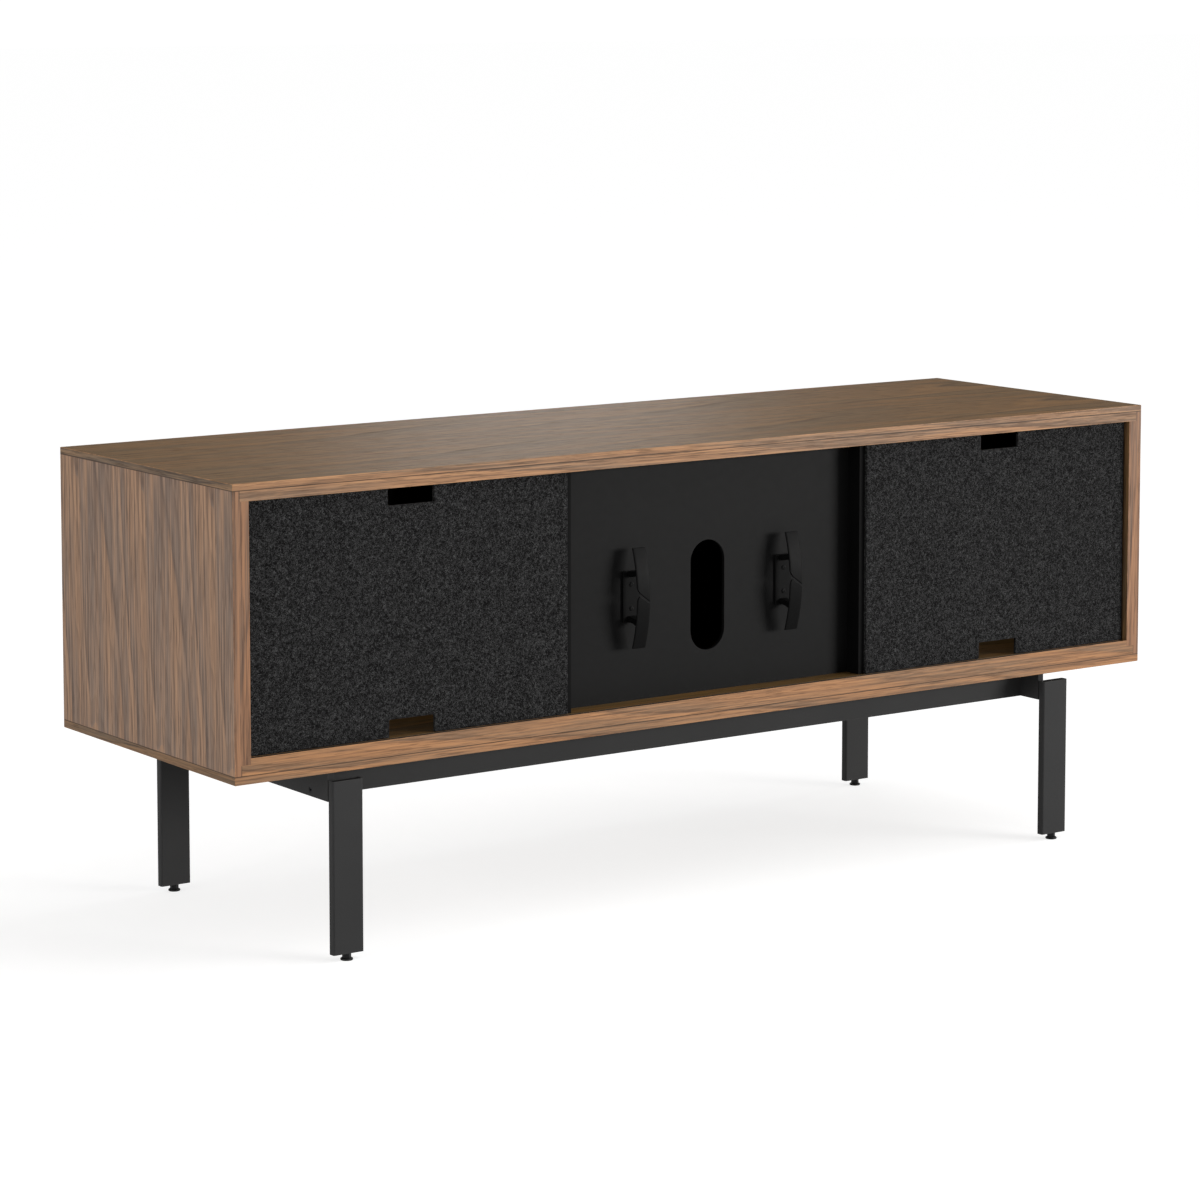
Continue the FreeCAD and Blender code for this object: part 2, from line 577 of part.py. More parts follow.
def flap_knob():
    return 0.0, Z_DOOR_HIGH - KNOB_INSET


def side_door(side):
    return door_slab(side * (DIVIDER_OUTER + DOOR_GAP), side * (SIDE_INNER - DOOR_GAP),
                     side_door_bush_places(side), side_knob(side),
                     strike_plate(side_catch_x(side), HOLE_CLEARANCE))


def centre_flap():
    half = DIVIDER_INNER - DOOR_GAP
    return door_slab(-half, half, flap_bush_places(), flap_knob(),
                     strike_plate(0.0, HOLE_CLEARANCE))


def knob(x, z):
    """A turned knob with a stud that screws into the door."""
    head, neck, stud = KNOB_DIAMETER / 2, KNOB_NECK / 2, KNOB_STUD_DIAMETER / 2
    profile = [(0, KNOB_LENGTH), (head - KNOB_CHAMFER, KNOB_LENGTH),
               (head, KNOB_LENGTH - KNOB_CHAMFER), (head, KNOB_LENGTH - KNOB_RIM),
               (neck, KNOB_LENGTH - KNOB_NECK_START), (neck, 0), (stud, 0), (stud, -KNOB_STUD),
               (0, -KNOB_STUD)]
    return revolve_y(profile, x, Y_DOOR_FACE, z)


def pivot_pin(start, axis):
    """A pin fixed in the case, with a collar that the bush rides above."""
    length = PIVOT_PIN_IN_CASE + DOOR_GAP + PIVOT_PIN_IN_DOOR
    origin = V(*start) - V(*axis) * PIVOT_PIN_IN_CASE
    pin = Part.makeCylinder(PIVOT_PIN_DIAMETER / 2, length, origin, V(*axis))
    collar = rod(PIVOT_PIN_DIAMETER / 2 + PIVOT_PIN_COLLAR, start, axis, DOOR_GAP - MOVING_GAP)
    return pin.fuse(collar).removeSplitter()


def pivot_pins():
    shapes = []
    for side in SIDES.values():
        shapes.append(pivot_pin((side * X_PIVOT, Y_PIVOT, Z_FLOOR), (0, 0, 1)))
        shapes.append(pivot_pin((side * X_PIVOT, Y_PIVOT, Z_CEILING), (0, 0, -1)))
        shapes.append(pivot_pin((side * DIVIDER_INNER, Y_PIVOT, Z_PIVOT), (-side, 0, 0)))
    return shapes


def magnetic_catches():
    y1 = Y_DOOR_BACK - MOVING_GAP
    return [block(x - CATCH_LENGTH / 2, x + CATCH_LENGTH / 2, y1 - CATCH_DEPTH, y1,
                  Z_CEILING - CATCH_HEIGHT, Z_CEILING)
            for x in (side_catch_x(-1), 0.0, side_catch_x(1))]


# --- shelves ---------------------------------------------------------------------------------
def shelf(side):
    return block(side * (DIVIDER_OUTER + SHELF_END_GAP), side * (SIDE_INNER - SHELF_END_GAP),
                 Y_SHELF_REAR, Y_SHELF_FRONT, Z_SHELF, Z_SHELF + SHELF_THICK)


def shelf_pins():
    shapes = []
    for side in SIDES.values():
        for x, into, y, z in shelf_pin_places(side, Z_SHELF_PIN):
            stem = rod(SHELF_PIN_DIAMETER / 2, (x, y, z), (into, 0, 0), SHELF_PIN_LENGTH)
            head = rod(SHELF_PIN_HEAD / 2, (x, y, z), (-into, 0, 0), SHELF_PIN_HEAD_LENGTH)
            shapes.append(stem.fuse(head).removeSplitter())
    return shapes


# --- steel frame -----------------------------------------------------------------------------
def leg_middle(side, end):
    return side * (X_LEG - LEG_WIDTH / 2), end * (Y_LEG_FACE + LEG_DEPTH / 2)


def upright(x, y, width, depth, z0, z1, round_radius):
    """A vertical bar with rounded corners."""
    bar = block(x - width / 2, x + width / 2, y - depth / 2, y + depth / 2, z0, z1)
    corners = edges_where(bar, lambda a, b: same(a.x, b.x) and same(a.y, b.y))
    return bar.makeFillet(round_radius, corners)


def leg_inside(x, y, z0, z1, gap=0.0):
    wall = 2 * (LEG_WALL + gap)
    return upright(x, y, LEG_WIDTH - wall, LEG_DEPTH - wall, z0, z1, LEG_ROUND - LEG_WALL)


def leg(side, end):
    x, y = leg_middle(side, end)
    tube = upright(x, y, LEG_WIDTH, LEG_DEPTH, LEG_BOTTOM, Z_LEG_TOP, LEG_ROUND)
    return tube.cut(leg_inside(x, y, LEG_BOTTOM - 1, Z_LEG_TOP + 1))


def leg_caps():
    """Plastic plugs, a little below the open tops of the legs."""
    top = Z_LEG_TOP - CAP_SUNK
    return [leg_inside(*leg_middle(s, e), top - CAP_HEIGHT, top, HOLE_CLEARANCE / 2)
            for s in SIDES.values() for e in ENDS.values()]


def leg_inserts():
    """Threaded plugs in the leg bottoms, modelled with a plain bore."""
    shapes = []
    for side in SIDES.values():
        for end in ENDS.values():
            x, y = leg_middle(side, end)
            plug = leg_inside(x, y, LEG_BOTTOM, LEG_BOTTOM + INSERT_HEIGHT, HOLE_CLEARANCE / 2)
            bore = rod(FOOT_STUD_DIAMETER / 2 + MOVING_GAP, (x, y, LEG_BOTTOM), (0, 0, 1),
                       INSERT_HEIGHT - INSERT_ROOF)
            shapes.append(plug.cut(bore))
    return shapes


def foot_stud(side, end):
    x, y = leg_middle(side, end)
    top = LEG_BOTTOM - MOVING_GAP
    profile = [(0, FOOT_PAD_HEIGHT), (FOOT_COLLAR_DIAMETER / 2, FOOT_PAD_HEIGHT),
               (FOOT_COLLAR_DIAMETER / 2, top), (FOOT_STUD_DIAMETER / 2, top),
               (FOOT_STUD_DIAMETER / 2, top + FOOT_STUD_LENGTH), (0, top + FOOT_STUD_LENGTH)]
    return revolve_z(profile, x, y)


def foot_pad(side, end):
    x, y = leg_middle(side, end)
    radius = FOOT_PAD_DIAMETER / 2
    lower, upper = FOOT_PAD_LOWER_CHAMFER, FOOT_PAD_UPPER_CHAMFER
    profile = [(0, 0), (radius - lower, 0), (radius, lower), (radius, FOOT_PAD_HEIGHT - upper),
               (radius - upper, FOOT_PAD_HEIGHT), (0, FOOT_PAD_HEIGHT)]
    return revolve_z(profile, x, y)


def frame_bolt_places():
    """Head face, direction into the beam, Y and Z of each bolt through a crossbar."""
    z = Z0 - FRAME_BOLT_DROP
    y = Y_BEAM + BAR_THICK / 2
    left_face = -X_LEG
    right_face = X_LEG - LEG_WIDTH + BAR_THICK
    return [(x, into, end * y, z) for x, into in ((left_face, 1), (right_face, -1))
            for end in ENDS.values()]


def crossbar(side):
    """A flat bar between two legs.  Both bars stand under the left edges of their legs."""
    x0 = -X_LEG if side < 0 else X_LEG - LEG_WIDTH
    bar = block(x0, x0 + BAR_THICK, Y_LEG_BACK, -Y_LEG_BACK, Z_BAR, Z0)
    holes = []
    for x, into, y, z in frame_bolt_places():
        holes.append(rod(FRAME_BOLT_HEAD / 2 + HOLE_CLEARANCE, (x, y, z), (into, 0, 0),
                         FRAME_BOLT_HEAD_DEPTH))
        holes.append(rod(FRAME_BOLT_DIAMETER / 2 + HOLE_CLEARANCE, (x, y, z), (into, 0, 0),
                         BAR_THICK))
    return cut_all(bar, holes)


def beam(end):
    """A long flat bar between the crossbars."""
    y = end * Y_BEAM
    bar = block(-X_LEG + BAR_THICK, X_LEG - LEG_WIDTH, y, y + end * BAR_THICK, Z_BAR, Z0)
    holes = [rod(FRAME_BOLT_DIAMETER / 2 + HOLE_CLEARANCE, (x, by, z), (into, 0, 0),
                 BAR_THICK + FRAME_BOLT_IN_BEAM + HOLE_CLEARANCE)
             for x, into, by, z in frame_bolt_places()]
    return cut_all(bar, holes)


def frame_bolts():
    shapes = []
    for x, into, y, z in frame_bolt_places():
        face = (x + into * FRAME_BOLT_SUNK, y, z)
        head = rod(FRAME_BOLT_HEAD / 2, face, (into, 0, 0), FRAME_BOLT_HEAD_DEPTH - FRAME_BOLT_SUNK)
        shank = rod(FRAME_BOLT_DIAMETER / 2, face, (into, 0, 0),
                    BAR_THICK + FRAME_BOLT_IN_BEAM - FRAME_BOLT_SUNK)
        socket = rod(FRAME_BOLT_SOCKET_RADIUS, face, (into, 0, 0), FRAME_BOLT_SOCKET_DEPTH)
        shapes.append(head.fuse(shank).removeSplitter().cut(socket))
    return shapes


def frame_tabs():
    """Small plates welded behind the beams, for the screws into the case."""
    shapes = []
    for x, end in tab_places():
        y0 = end * (Y_BEAM + BAR_THICK)
        plate = block(x - TAB_LENGTH / 2, x + TAB_LENGTH / 2, y0, y0 + end * TAB_DEPTH,
                      Z0 - TAB_THICK, Z0)
        hole = rod(BASE_SCREW_RADIUS + HOLE_CLEARANCE, (x, tab_centre_y(end), Z0 - TAB_THICK),
                   (0, 0, 1), TAB_THICK)
        shapes.append(plate.cut(hole))
    return shapes


def base_screws():
    shapes = []
    for x, end in tab_places():
        under = Z0 - TAB_THICK
        crown = under - BASE_SCREW_HEAD_HEIGHT
        profile = [(0, crown), (BASE_SCREW_HEAD_RADIUS - BASE_SCREW_HEAD_CHAMFER, crown),
                   (BASE_SCREW_HEAD_RADIUS, crown + BASE_SCREW_HEAD_CHAMFER),
                   (BASE_SCREW_HEAD_RADIUS, under),
                   (BASE_SCREW_RADIUS, under), (BASE_SCREW_RADIUS, Z0 + BASE_SCREW_IN_CASE),
                   (0, Z0 + BASE_SCREW_IN_CASE)]
        shapes.append(revolve_z(profile, x, tab_centre_y(end)))
    return shapes


# --- write every node ------------------------------------------------------------------------
def main():
    os.makedirs("parts", exist_ok=True)
    save("top_panel", top_panel())
    save("bottom_panel", bottom_panel())
    save("divider_dowels", dowels())
    save("centre_back_panel", centre_back_panel())
    save("cleat_screws", cleat_screws())
    save("cover_magnets", cover_magnets())
    save("shelf_pins", shelf_pins())
    save("door_pivot_pins", pivot_pins())
    save("magnetic_catches", magnetic_catches())
    for name, side in SIDES.items():
        save(name + "_side", side_panel(side))
        save(name + "_divider", divider(side))
        save(name + "_cord_cleat", cord_cleat(side))
        save(name + "_cover_cleat", cover_cleat(side))
        save(name + "_felt_cover", felt_cover(side))
        save(name + "_cover_discs", cover_discs(side))
        save(name + "_shelf", shelf(side))
        save(name + "_door", side_door(side))
        save(name + "_door_bushes", [bush(*place) for place in side_door_bush_places(side)])
        save(name + "_door_strike", strike_plate(side_catch_x(side)))
        save(name + "_door_knob", knob(*side_knob(side)))
        save(name + "_crossbar", crossbar(side))
    save("centre_flap", centre_flap())
    save("centre_flap_bushes", [bush(*place) for place in flap_bush_places()])
    save("centre_flap_strike", strike_plate(0.0))
    save("centre_flap_knob", knob(*flap_knob()))
    for end_name, end in ENDS.items():
        save(end_name + "_beam", beam(end))
        for name, side in SIDES.items():
            place = end_name + "_" + name
            save(place + "_leg", leg(side, end))
            save(place + "_foot_stud", foot_stud(side, end))
            save(place + "_foot_pad", foot_pad(side, end))
    save("leg_caps", leg_caps())
    save("leg_inserts", leg_inserts())
    save("frame_tabs", frame_tabs())
    save("frame_bolts", frame_bolts())
    save("base_screws", base_screws())


main()
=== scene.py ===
"""Looks of a walnut media cabinet on a black steel frame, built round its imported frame."""
import math

import bmesh
import bpy
import numpy as np
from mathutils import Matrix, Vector


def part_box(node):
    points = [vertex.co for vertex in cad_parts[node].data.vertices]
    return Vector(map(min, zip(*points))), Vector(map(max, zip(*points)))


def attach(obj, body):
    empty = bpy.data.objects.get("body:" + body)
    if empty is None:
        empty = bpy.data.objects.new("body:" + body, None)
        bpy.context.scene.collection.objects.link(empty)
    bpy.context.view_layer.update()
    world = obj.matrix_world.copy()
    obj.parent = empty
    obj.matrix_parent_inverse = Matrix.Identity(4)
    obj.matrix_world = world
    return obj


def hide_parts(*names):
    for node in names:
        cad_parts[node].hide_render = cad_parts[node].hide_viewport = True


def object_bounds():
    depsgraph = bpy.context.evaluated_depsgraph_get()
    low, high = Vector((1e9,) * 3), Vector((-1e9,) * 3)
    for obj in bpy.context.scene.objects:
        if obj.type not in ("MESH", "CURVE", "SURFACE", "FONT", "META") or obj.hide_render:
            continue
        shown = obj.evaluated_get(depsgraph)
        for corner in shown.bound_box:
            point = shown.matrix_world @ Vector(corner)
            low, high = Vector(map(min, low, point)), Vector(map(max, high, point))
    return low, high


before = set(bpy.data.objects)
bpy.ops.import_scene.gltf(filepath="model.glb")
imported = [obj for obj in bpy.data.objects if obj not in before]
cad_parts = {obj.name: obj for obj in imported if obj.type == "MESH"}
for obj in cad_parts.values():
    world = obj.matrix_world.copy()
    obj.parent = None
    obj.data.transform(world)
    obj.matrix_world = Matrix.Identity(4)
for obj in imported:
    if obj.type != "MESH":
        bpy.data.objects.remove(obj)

bl_info = {
    "name": "Walnut media cabinet",
    "version": (1, 0, 0),
    "blender": (4, 5, 0),
    "location": "3D View > Sidebar > Cabinet",
    "description": "Finishes and detailed pieces of a media cabinet, and a studio for it",
    "category": "Object",
}

CAD_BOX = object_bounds()

# --- sizes in metres, and plain numbers ------------------------------------------------------
CORNER_LAP = 0.0105                     # side's outer face to the joint line above and below it
GROOVE_START, GROOVE_END = 0.0008, 0.0086        # groove along the floor, from its rear edge, painted nearly black as its shade
GROOVE_DEPTH = 0.003
NOTCH_HALF, NOTCH_DEPTH = 0.0381, 0.0254         # finger notches of the felt covers
CLEAT_PLATE_HALF, CLEAT_PLATE_THICK = 0.0385, 0.003
POST_AT, POST_SLIDE = 0.0335, 0.0065    # cleat's middle to a post's root, and on to its tip
POST_ROOT, POST_TIP, POST_WAIST = 0.0095, 0.0135, 0.003     # height of its section
POST_HALF_WIDTH, POST_PINCH = 0.0065, 0.0012
POST_SUNK, POST_SHORT = 0.002, 0.0052   # into the plate, and short of the bow's outer face
BOW_HALF_WIDTH, BOW_HALF_THICK = 0.0115, 0.0015
BOW_RISE = 0.013                        # how far the bow's middle stands out past its ends
BOW_END_ROUND = 0.016                   # share of a tongue's length in its rounded end
SQUARENESS = 0.35                       # power that flattens a round section
COLLAR_TOP = 0.0067                     # top of a foot's collar above the pad's upper face
COLLAR_CHAMFER = 0.0006
HEXAGON_REACH = 1.04                    # flats of the collar, past the hexagon inside its circle
STUD_RADIUS, THREAD_PITCH, THREAD_DEPTH = 0.0038, 0.00125, 0.00045
STUD_POINT = 0.0008                     # how far a stud's end narrows, and over what length
PAD_LOWER_ROUND, PAD_UPPER_ROUND, PAD_DISH = 0.0008, 0.001, 0.0004
KNOB_LENGTH, KNOB_NECK, KNOB_ROUND = 0.010, 0.004, 0.0016
KNOB_WAIST_TOP, KNOB_WAIST_FOOT = 0.0066, 0.0040
KNOB_STUD, KNOB_STUD_LENGTH, KNOB_STUD_POINT = 0.002, 0.012, 0.0005
SCREW_HEAD, SCREW_HEAD_TALL, SCREW_SHANK = 0.0035, 0.002, 0.00175
RECESS_HALF, RECESS_REACH, RECESS_DEPTH = 0.0005, 0.0021, 0.0010
WORN_WIDTH = 0.0016                     # width of the rubbed strip along an edge
FACING = 0.8                            # part of a normal along an axis that counts as facing it
RUBBED_BLACK = (0.06, 0.06, 0.06)
DUST_ON_WOOD, DUST_ON_BLACK = (0.42, 0.40, 0.37), (0.20, 0.195, 0.19)
END_BAND = (0.50, 0.58, 0.66)           # tint of the edge bands at the case's ends
SEAM_DARKNESS, SEAM_CORE = 0.85, 0.3    # strength of a joint line, and its fully dark share
WHITE = (1.0, 1.0, 1.0)
CAMERA_AT = (-3.4017, -4.7654, 1.3782)
CAMERA_BEARING, CAMERA_TILT = 35.133, 5.761      # degrees
SUN_TOWARDS, SUN_SPREAD = (0.62, -0.30, 0.80), 55.0
FLOOR_REACH = 60.0


# --- settings --------------------------------------------------------------------------------
def colour_setting(name, description, default):
    """A colour that a user may change."""
    return bpy.props.FloatVectorProperty(name=name, description=description, default=default,
                                         size=3, min=0.0, max=1.0, subtype="COLOR")


def length_setting(name, description, default):
    """A length that a user may change."""
    return bpy.props.FloatProperty(name=name, description=description, default=default,
                                   min=0.0, precision=5, unit="LENGTH")


def number_setting(name, description, default, unit="NONE", lowest=0.0):
    """A number that a user may change, such as a lamp's power."""
    return bpy.props.FloatProperty(name=name, description=description, default=default,
                                   min=lowest, unit=unit)


class CabinetWood(bpy.types.PropertyGroup):
    """Colours and figure of the walnut."""
    light: colour_setting("Light wood", "Warm lines and pale fibres", (0.36, 0.212, 0.122))
    middle: colour_setting("Middle wood", "Late wood, most of the veneer", (0.27, 0.158, 0.092))
    grey: colour_setting("Grey wood", "Early wood of each ring", (0.185, 0.130, 0.096))
    dark: colour_setting("Dark wood", "Ring ends, pores and dark fibres", (0.085, 0.052, 0.036))
    ring_spacing: length_setting("Ring spacing", "Distance between the broad rings", 0.030)
    seam: length_setting("Seam width", "Width of the dark line where two boards meet", 0.0011)


class CabinetFelt(bpy.types.PropertyGroup):
    """Colours and sizes of the pressed felt."""
    ground: colour_setting("Felt ground", "The mass of dark fibres", (0.0026, 0.0026, 0.0027))
    fleck: colour_setting("Felt fleck", "The light fibres", (0.086, 0.086, 0.087))
    edge_round: length_setting("Felt edge", "Radius of the cut edges", 0.0009)
    cell: length_setting("Felt cell", "Spacing of the sheet's mesh", 0.004)
    ripple: length_setting("Felt ripple", "How far the sheet is out of flat", 0.00012)


class CabinetBlack(bpy.types.PropertyGroup):
    """Colours of the black finishes."""
    lacquer: colour_setting("Lacquer", "Centre back panel", (0.0060, 0.0060, 0.0061))
    # Set darker than the lacquer: on the dividers this stain is painted shade for the bays' walls;
    # the cover cleats share it.
    stain_and_shade: colour_setting("Stain", "Dividers and cover cleats", (0.0032, 0.0032, 0.0033))
    powder: colour_setting("Powder coat", "Legs, bars and knobs", (0.0340, 0.0340, 0.0345))
    plastic: colour_setting("Plastic", "Cord cleats, catches and plugs", (0.0042, 0.0042, 0.0043))


class CabinetStudio(bpy.types.PropertyGroup):
    """Light and camera."""
    front: number_setting("Front light", "Power of the low front light", 720.0, "POWER")
    left: number_setting("Left light", "Power of the left light", 110.0, "POWER")
    far: number_setting("Far light", "Power of the light behind", 13.0, "POWER")
    inside: number_setting("Inside light", "Faint light in the closed bays", 0.055, "POWER")
    overhead: number_setting("Overhead light", "Strength of the top lamp", 1.45)
    back: number_setting("Backdrop", "Brightness of the backdrop", 1.1)
    room: number_setting("Room", "Light that the room gives back", 0.22)
    table: number_setting("Lit floor", "Glow of the lit white floor", 0.74)
    bounce: number_setting("Floor bounce", "Light that the floor gives the cabinet", 0.30)
    lens: number_setting("Lens", "Focal length", 114.995, "CAMERA", 1.0)
    lift: number_setting("Lift", "Vertical shift of the lens", -0.2, lowest=-1.0)


# --- shader helpers --------------------------------------------------------------------------
def feed(tree, socket, value):
    """Links a socket, or sets it to a plain value."""
    if isinstance(value, bpy.types.NodeSocket):
        tree.links.new(value, socket)
    elif socket.type == "RGBA" and len(value) == 3:
        socket.default_value = (*value, 1.0)
    else:
        socket.default_value = value


def add(tree, kind, inputs=None, **settings):
    """Adds a node, with its settings and its inputs by name or number."""
    node = tree.nodes.new(kind)
    for key, value in settings.items():
        setattr(node, key, value)
    for key, value in (inputs or {}).items():
        feed(tree, node.inputs[key], value)
    return node


def maths(tree, operation, *values, clamp=False):
    """The result of a Math node."""
    return add(tree, "ShaderNodeMath", dict(enumerate(values)), operation=operation,
               use_clamp=clamp).outputs[0]


def product(tree, *values):
    """The values multiplied together."""
    result = values[0]
    for value in values[1:]:
        result = maths(tree, "MULTIPLY", result, value)
    return result


def total(tree, *values):
    """The values added up."""
    result = values[0]
    for value in values[1:]:
        result = maths(tree, "ADD", result, value)
    return result


def between(tree, value, low, high):
    """1 where the value lies between low and high, and 0 elsewhere."""
    return product(tree, maths(tree, "GREATER_THAN", value, low),
                   maths(tree, "LESS_THAN", value, high))


def vector_maths(tree, operation, *values):
    """The result of a Vector Math node."""
    return add(tree, "ShaderNodeVectorMath", dict(enumerate(values)),
               operation=operation).outputs[0]


def scaled(tree, vector, scale):
    """The vector, stretched along each axis by the scale."""
    return vector_maths(tree, "MULTIPLY", vector, scale)


def smooth(tree, value, low, high, to_low=0.0, to_high=1.0):
    """A smooth step of value from low to high."""
    node = add(tree, "ShaderNodeMapRange", interpolation_type="SMOOTHSTEP")
    for key, number in zip(("Value", "From Min", "From Max", "To Min", "To Max"),
                           (value, low, high, to_low, to_high)):
        feed(tree, node.inputs[key], number)
    return node.outputs["Result"]


def noise(tree, vector, scale, detail=2.0, roughness=0.5, channel=0):
    """The value of a noise texture, or its colour by channel."""
    return add(tree, "ShaderNodeTexNoise", {"Vector": vector, "Scale": scale, "Detail": detail,
               "Roughness": roughness}).outputs[channel]


def blend_colours(tree, factor, first, second, mode="MIX"):
    """The first colour at factor 0 and the second, or their product, at 1."""
    node = add(tree, "ShaderNodeMix", data_type="RGBA", blend_type=mode)
    for key, value in (("Factor", factor), (6, first), (7, second)):
        feed(tree, node.inputs[key], value)
    return node.outputs[2]


def tinted(tree, mask, colour, tint):
    """The colour, multiplied by the tint where the mask is 1."""
    return blend_colours(tree, mask, colour, blend_colours(tree, 1.0, colour, tint, "MULTIPLY"))


def split(tree, vector):
    """The three parts of a vector."""
    return add(tree, "ShaderNodeSeparateXYZ", {0: vector}).outputs


def times(colour, factor):
    """A plain colour, made lighter or darker by a factor."""
    return tuple(c * factor for c in colour)


def group(name, inputs, outputs, build):
    """A shader node group made once: build(tree, inputs) gives its outputs in order."""
    if name in bpy.data.node_groups:
        return bpy.data.node_groups[name]
    tree = bpy.data.node_groups.new(name, "ShaderNodeTree")
    for label, kind, default in inputs:
        socket = tree.interface.new_socket(name=label, in_out="INPUT", socket_type=kind)
        if default is not None:
            socket.default_value = default
    for label, kind in outputs:
        tree.interface.new_socket(name=label, in_out="OUTPUT", socket_type=kind)
    entry = tree.nodes.new("NodeGroupInput")
    exit_node = tree.nodes.new("NodeGroupOutput")
    results = build(tree, {s.name: s for s in entry.outputs if s.name})
    for socket, result in zip(exit_node.inputs, results):
        tree.links.new(result, socket)
    return tree


def place(tree, node_tree, **inputs):
    """Puts a node group in a material, with its inputs by name, and gives its outputs."""
    node = tree.nodes.new("ShaderNodeGroup")
    node.node_tree = node_tree
    for key, value in inputs.items():
        feed(tree, node.inputs[key.replace("_", " ")], value)
    return node.outputs


VECTOR, FLOAT, COLOUR = "NodeSocketVector", "NodeSocketFloat", "NodeSocketColor"


def walnut_figure():
    """Walnut veneer: leaves laid side by side, growth rings, streaks, fibres and open pores.

    X runs along the fibres and Y across the leaves.  A ring's radius is the distance to a leaning,
    tapering pith line, swayed by noise; each ring goes from grey early wood to a warm line and
    ends in a dark one, and finer rings lie between.
    """
    def build(t, i):
        x, y, z = split(t, vector_maths(t, "ADD", i["Vector"], i["Offset"]))
        share = maths(t, "FRACT", maths(t, "DIVIDE", y, i["Leaf"]))
        leaf = product(t, maths(t, "SUBTRACT", share, 0.5), i["Leaf"])
        v = add(t, "ShaderNodeCombineXYZ", {0: x, 1: leaf, 2: z}).outputs[0]

        def drawn_out(vector, along, across, detail=2.0, roughness=0.5):
            """Noise that is coarser along the fibres than across them."""
            return noise(t, scaled(t, vector, (along, across, across)), 1.0, detail, roughness)

        sway = maths(t, "SUBTRACT", drawn_out(v, 1.6, 7.0), 0.5)
        ry = total(t, leaf, i["Aside"], product(t, x, i["Lean"]))
        rz = total(t, z, i["Pith"], product(t, x, i["Taper"]))
        radius = maths(t, "SQRT", total(t, product(t, ry, ry), product(t, rz, rz)))
        radius = total(t, radius, product(t, sway, i["Figure"]))
        turn = total(t, maths(t, "DIVIDE", radius, i["Ring Spacing"]),
                     product(t, drawn_out(v, 0.7, 11.0), 1.7))
        part = maths(t, "FRACT", turn)
        fine = maths(t, "FRACT", product(t, turn, 4.3))
        strength = smooth(t, drawn_out(v, 2.4, 38.0), 0.34, 0.62)
        rest = smooth(t, drawn_out(v, 1.5, 21.0), 0.40, 0.60, 0.15, 1.0)
        late = product(t, smooth(t, part, 0.05, 0.60), strength)
        warm = product(t, smooth(t, part, 0.70, 0.88), smooth(t, part, 0.93, 1.0, 1.0, 0.0), rest)
        dark = product(t, smooth(t, part, 0.0, 0.02), smooth(t, part, 0.04, 0.12, 1.0, 0.0), rest)
        fine_dark = product(t, maths(t, "POWER", fine, 3.0), smooth(t, fine, 0.92, 1.0, 1.0, 0.0),
                            smooth(t, strength, 0.0, 1.0, 0.35, 1.0))
        fibres = scaled(t, v, i["Fibre Scale"])
        long_fibre = drawn_out(fibres, 0.012, 1.0, 3.0, 0.7)
        short_fibre = drawn_out(fibres, 0.07, 1.9, 2.0, 0.6)
        pore = smooth(t, short_fibre, 0.55, 0.64)
        colour = blend_colours(t, late, i["Grey"], i["Middle"])
        for mask, amount, shade in (
                (warm, 0.62, "Light"),
                (dark, i["Contrast"], "Dark"),
                (fine_dark, product(t, i["Contrast"], 0.7), "Dark"),
                (smooth(t, long_fibre, 0.50, 0.38), i["Fibre"], "Light"),
                (smooth(t, long_fibre, 0.50, 0.62), i["Fibre"], "Dark"),
                (smooth(t, short_fibre, 0.45, 0.36), product(t, i["Fibre"], 0.5), "Light"),
                (pore, i["Fibre"], "Dark")):
            colour = blend_colours(t, product(t, mask, amount), colour, i[shade])
        rough = total(t, 0.50, product(t, pore, 0.14), product(t, dark, 0.05))
        height = maths(t, "SUBTRACT", product(t, long_fibre, 0.4), pore)
        return colour, rough, height
    return group("walnut figure", [("Vector", VECTOR, None), ("Offset", VECTOR, None),
                 ("Light", COLOUR, None), ("Middle", COLOUR, None), ("Grey", COLOUR, None),
                 ("Dark", COLOUR, None), ("Ring Spacing", FLOAT, 0.03), ("Leaf", FLOAT, 0.2),
                 ("Figure", FLOAT, 0.03), ("Lean", FLOAT, 0.05), ("Taper", FLOAT, 0.05),
                 ("Aside", FLOAT, 0.13), ("Pith", FLOAT, 0.08), ("Contrast", FLOAT, 0.6),
                 ("Fibre", FLOAT, 0.5), ("Fibre Scale", FLOAT, 220.0)],
                 [("Color", COLOUR), ("Roughness", FLOAT), ("Height", FLOAT)], build)


def edge_wear():
    """A mask that is 1 along the long edges of a box-shaped piece and breaks up with noise.

    The middle one of the three distances to the box's faces is the distance to its edges.
    """
    def build(t, i):
        p = vector_maths(t, "SUBTRACT", i["Vector"], i["Centre"])
        gap = vector_maths(t, "SUBTRACT", i["Half Size"], vector_maths(t, "ABSOLUTE", p))
        gx, gy, gz = split(t, gap)
        low = maths(t, "MINIMUM", gx, gy)
        high = maths(t, "MAXIMUM", gx, gy)
        middle = maths(t, "MAXIMUM", low, maths(t, "MINIMUM", high, gz))
        ragged = noise(t, i["Vector"], 55.0, 4.0, 0.6)
        reach = product(t, smooth(t, ragged, 0.35, 0.7, 0.35, 1.3), i["Width"])
        mask = maths(t, "SUBTRACT", 1.0, maths(t, "DIVIDE", middle, reach), clamp=True)
        return (product(t, mask, i["Amount"]),)
    return group("edge wear", [("Vector", VECTOR, None), ("Centre", VECTOR, None),
                 ("Half Size", VECTOR, None), ("Width", FLOAT, 0.002), ("Amount", FLOAT, 0.5)],
                 [("Mask", FLOAT)], build)


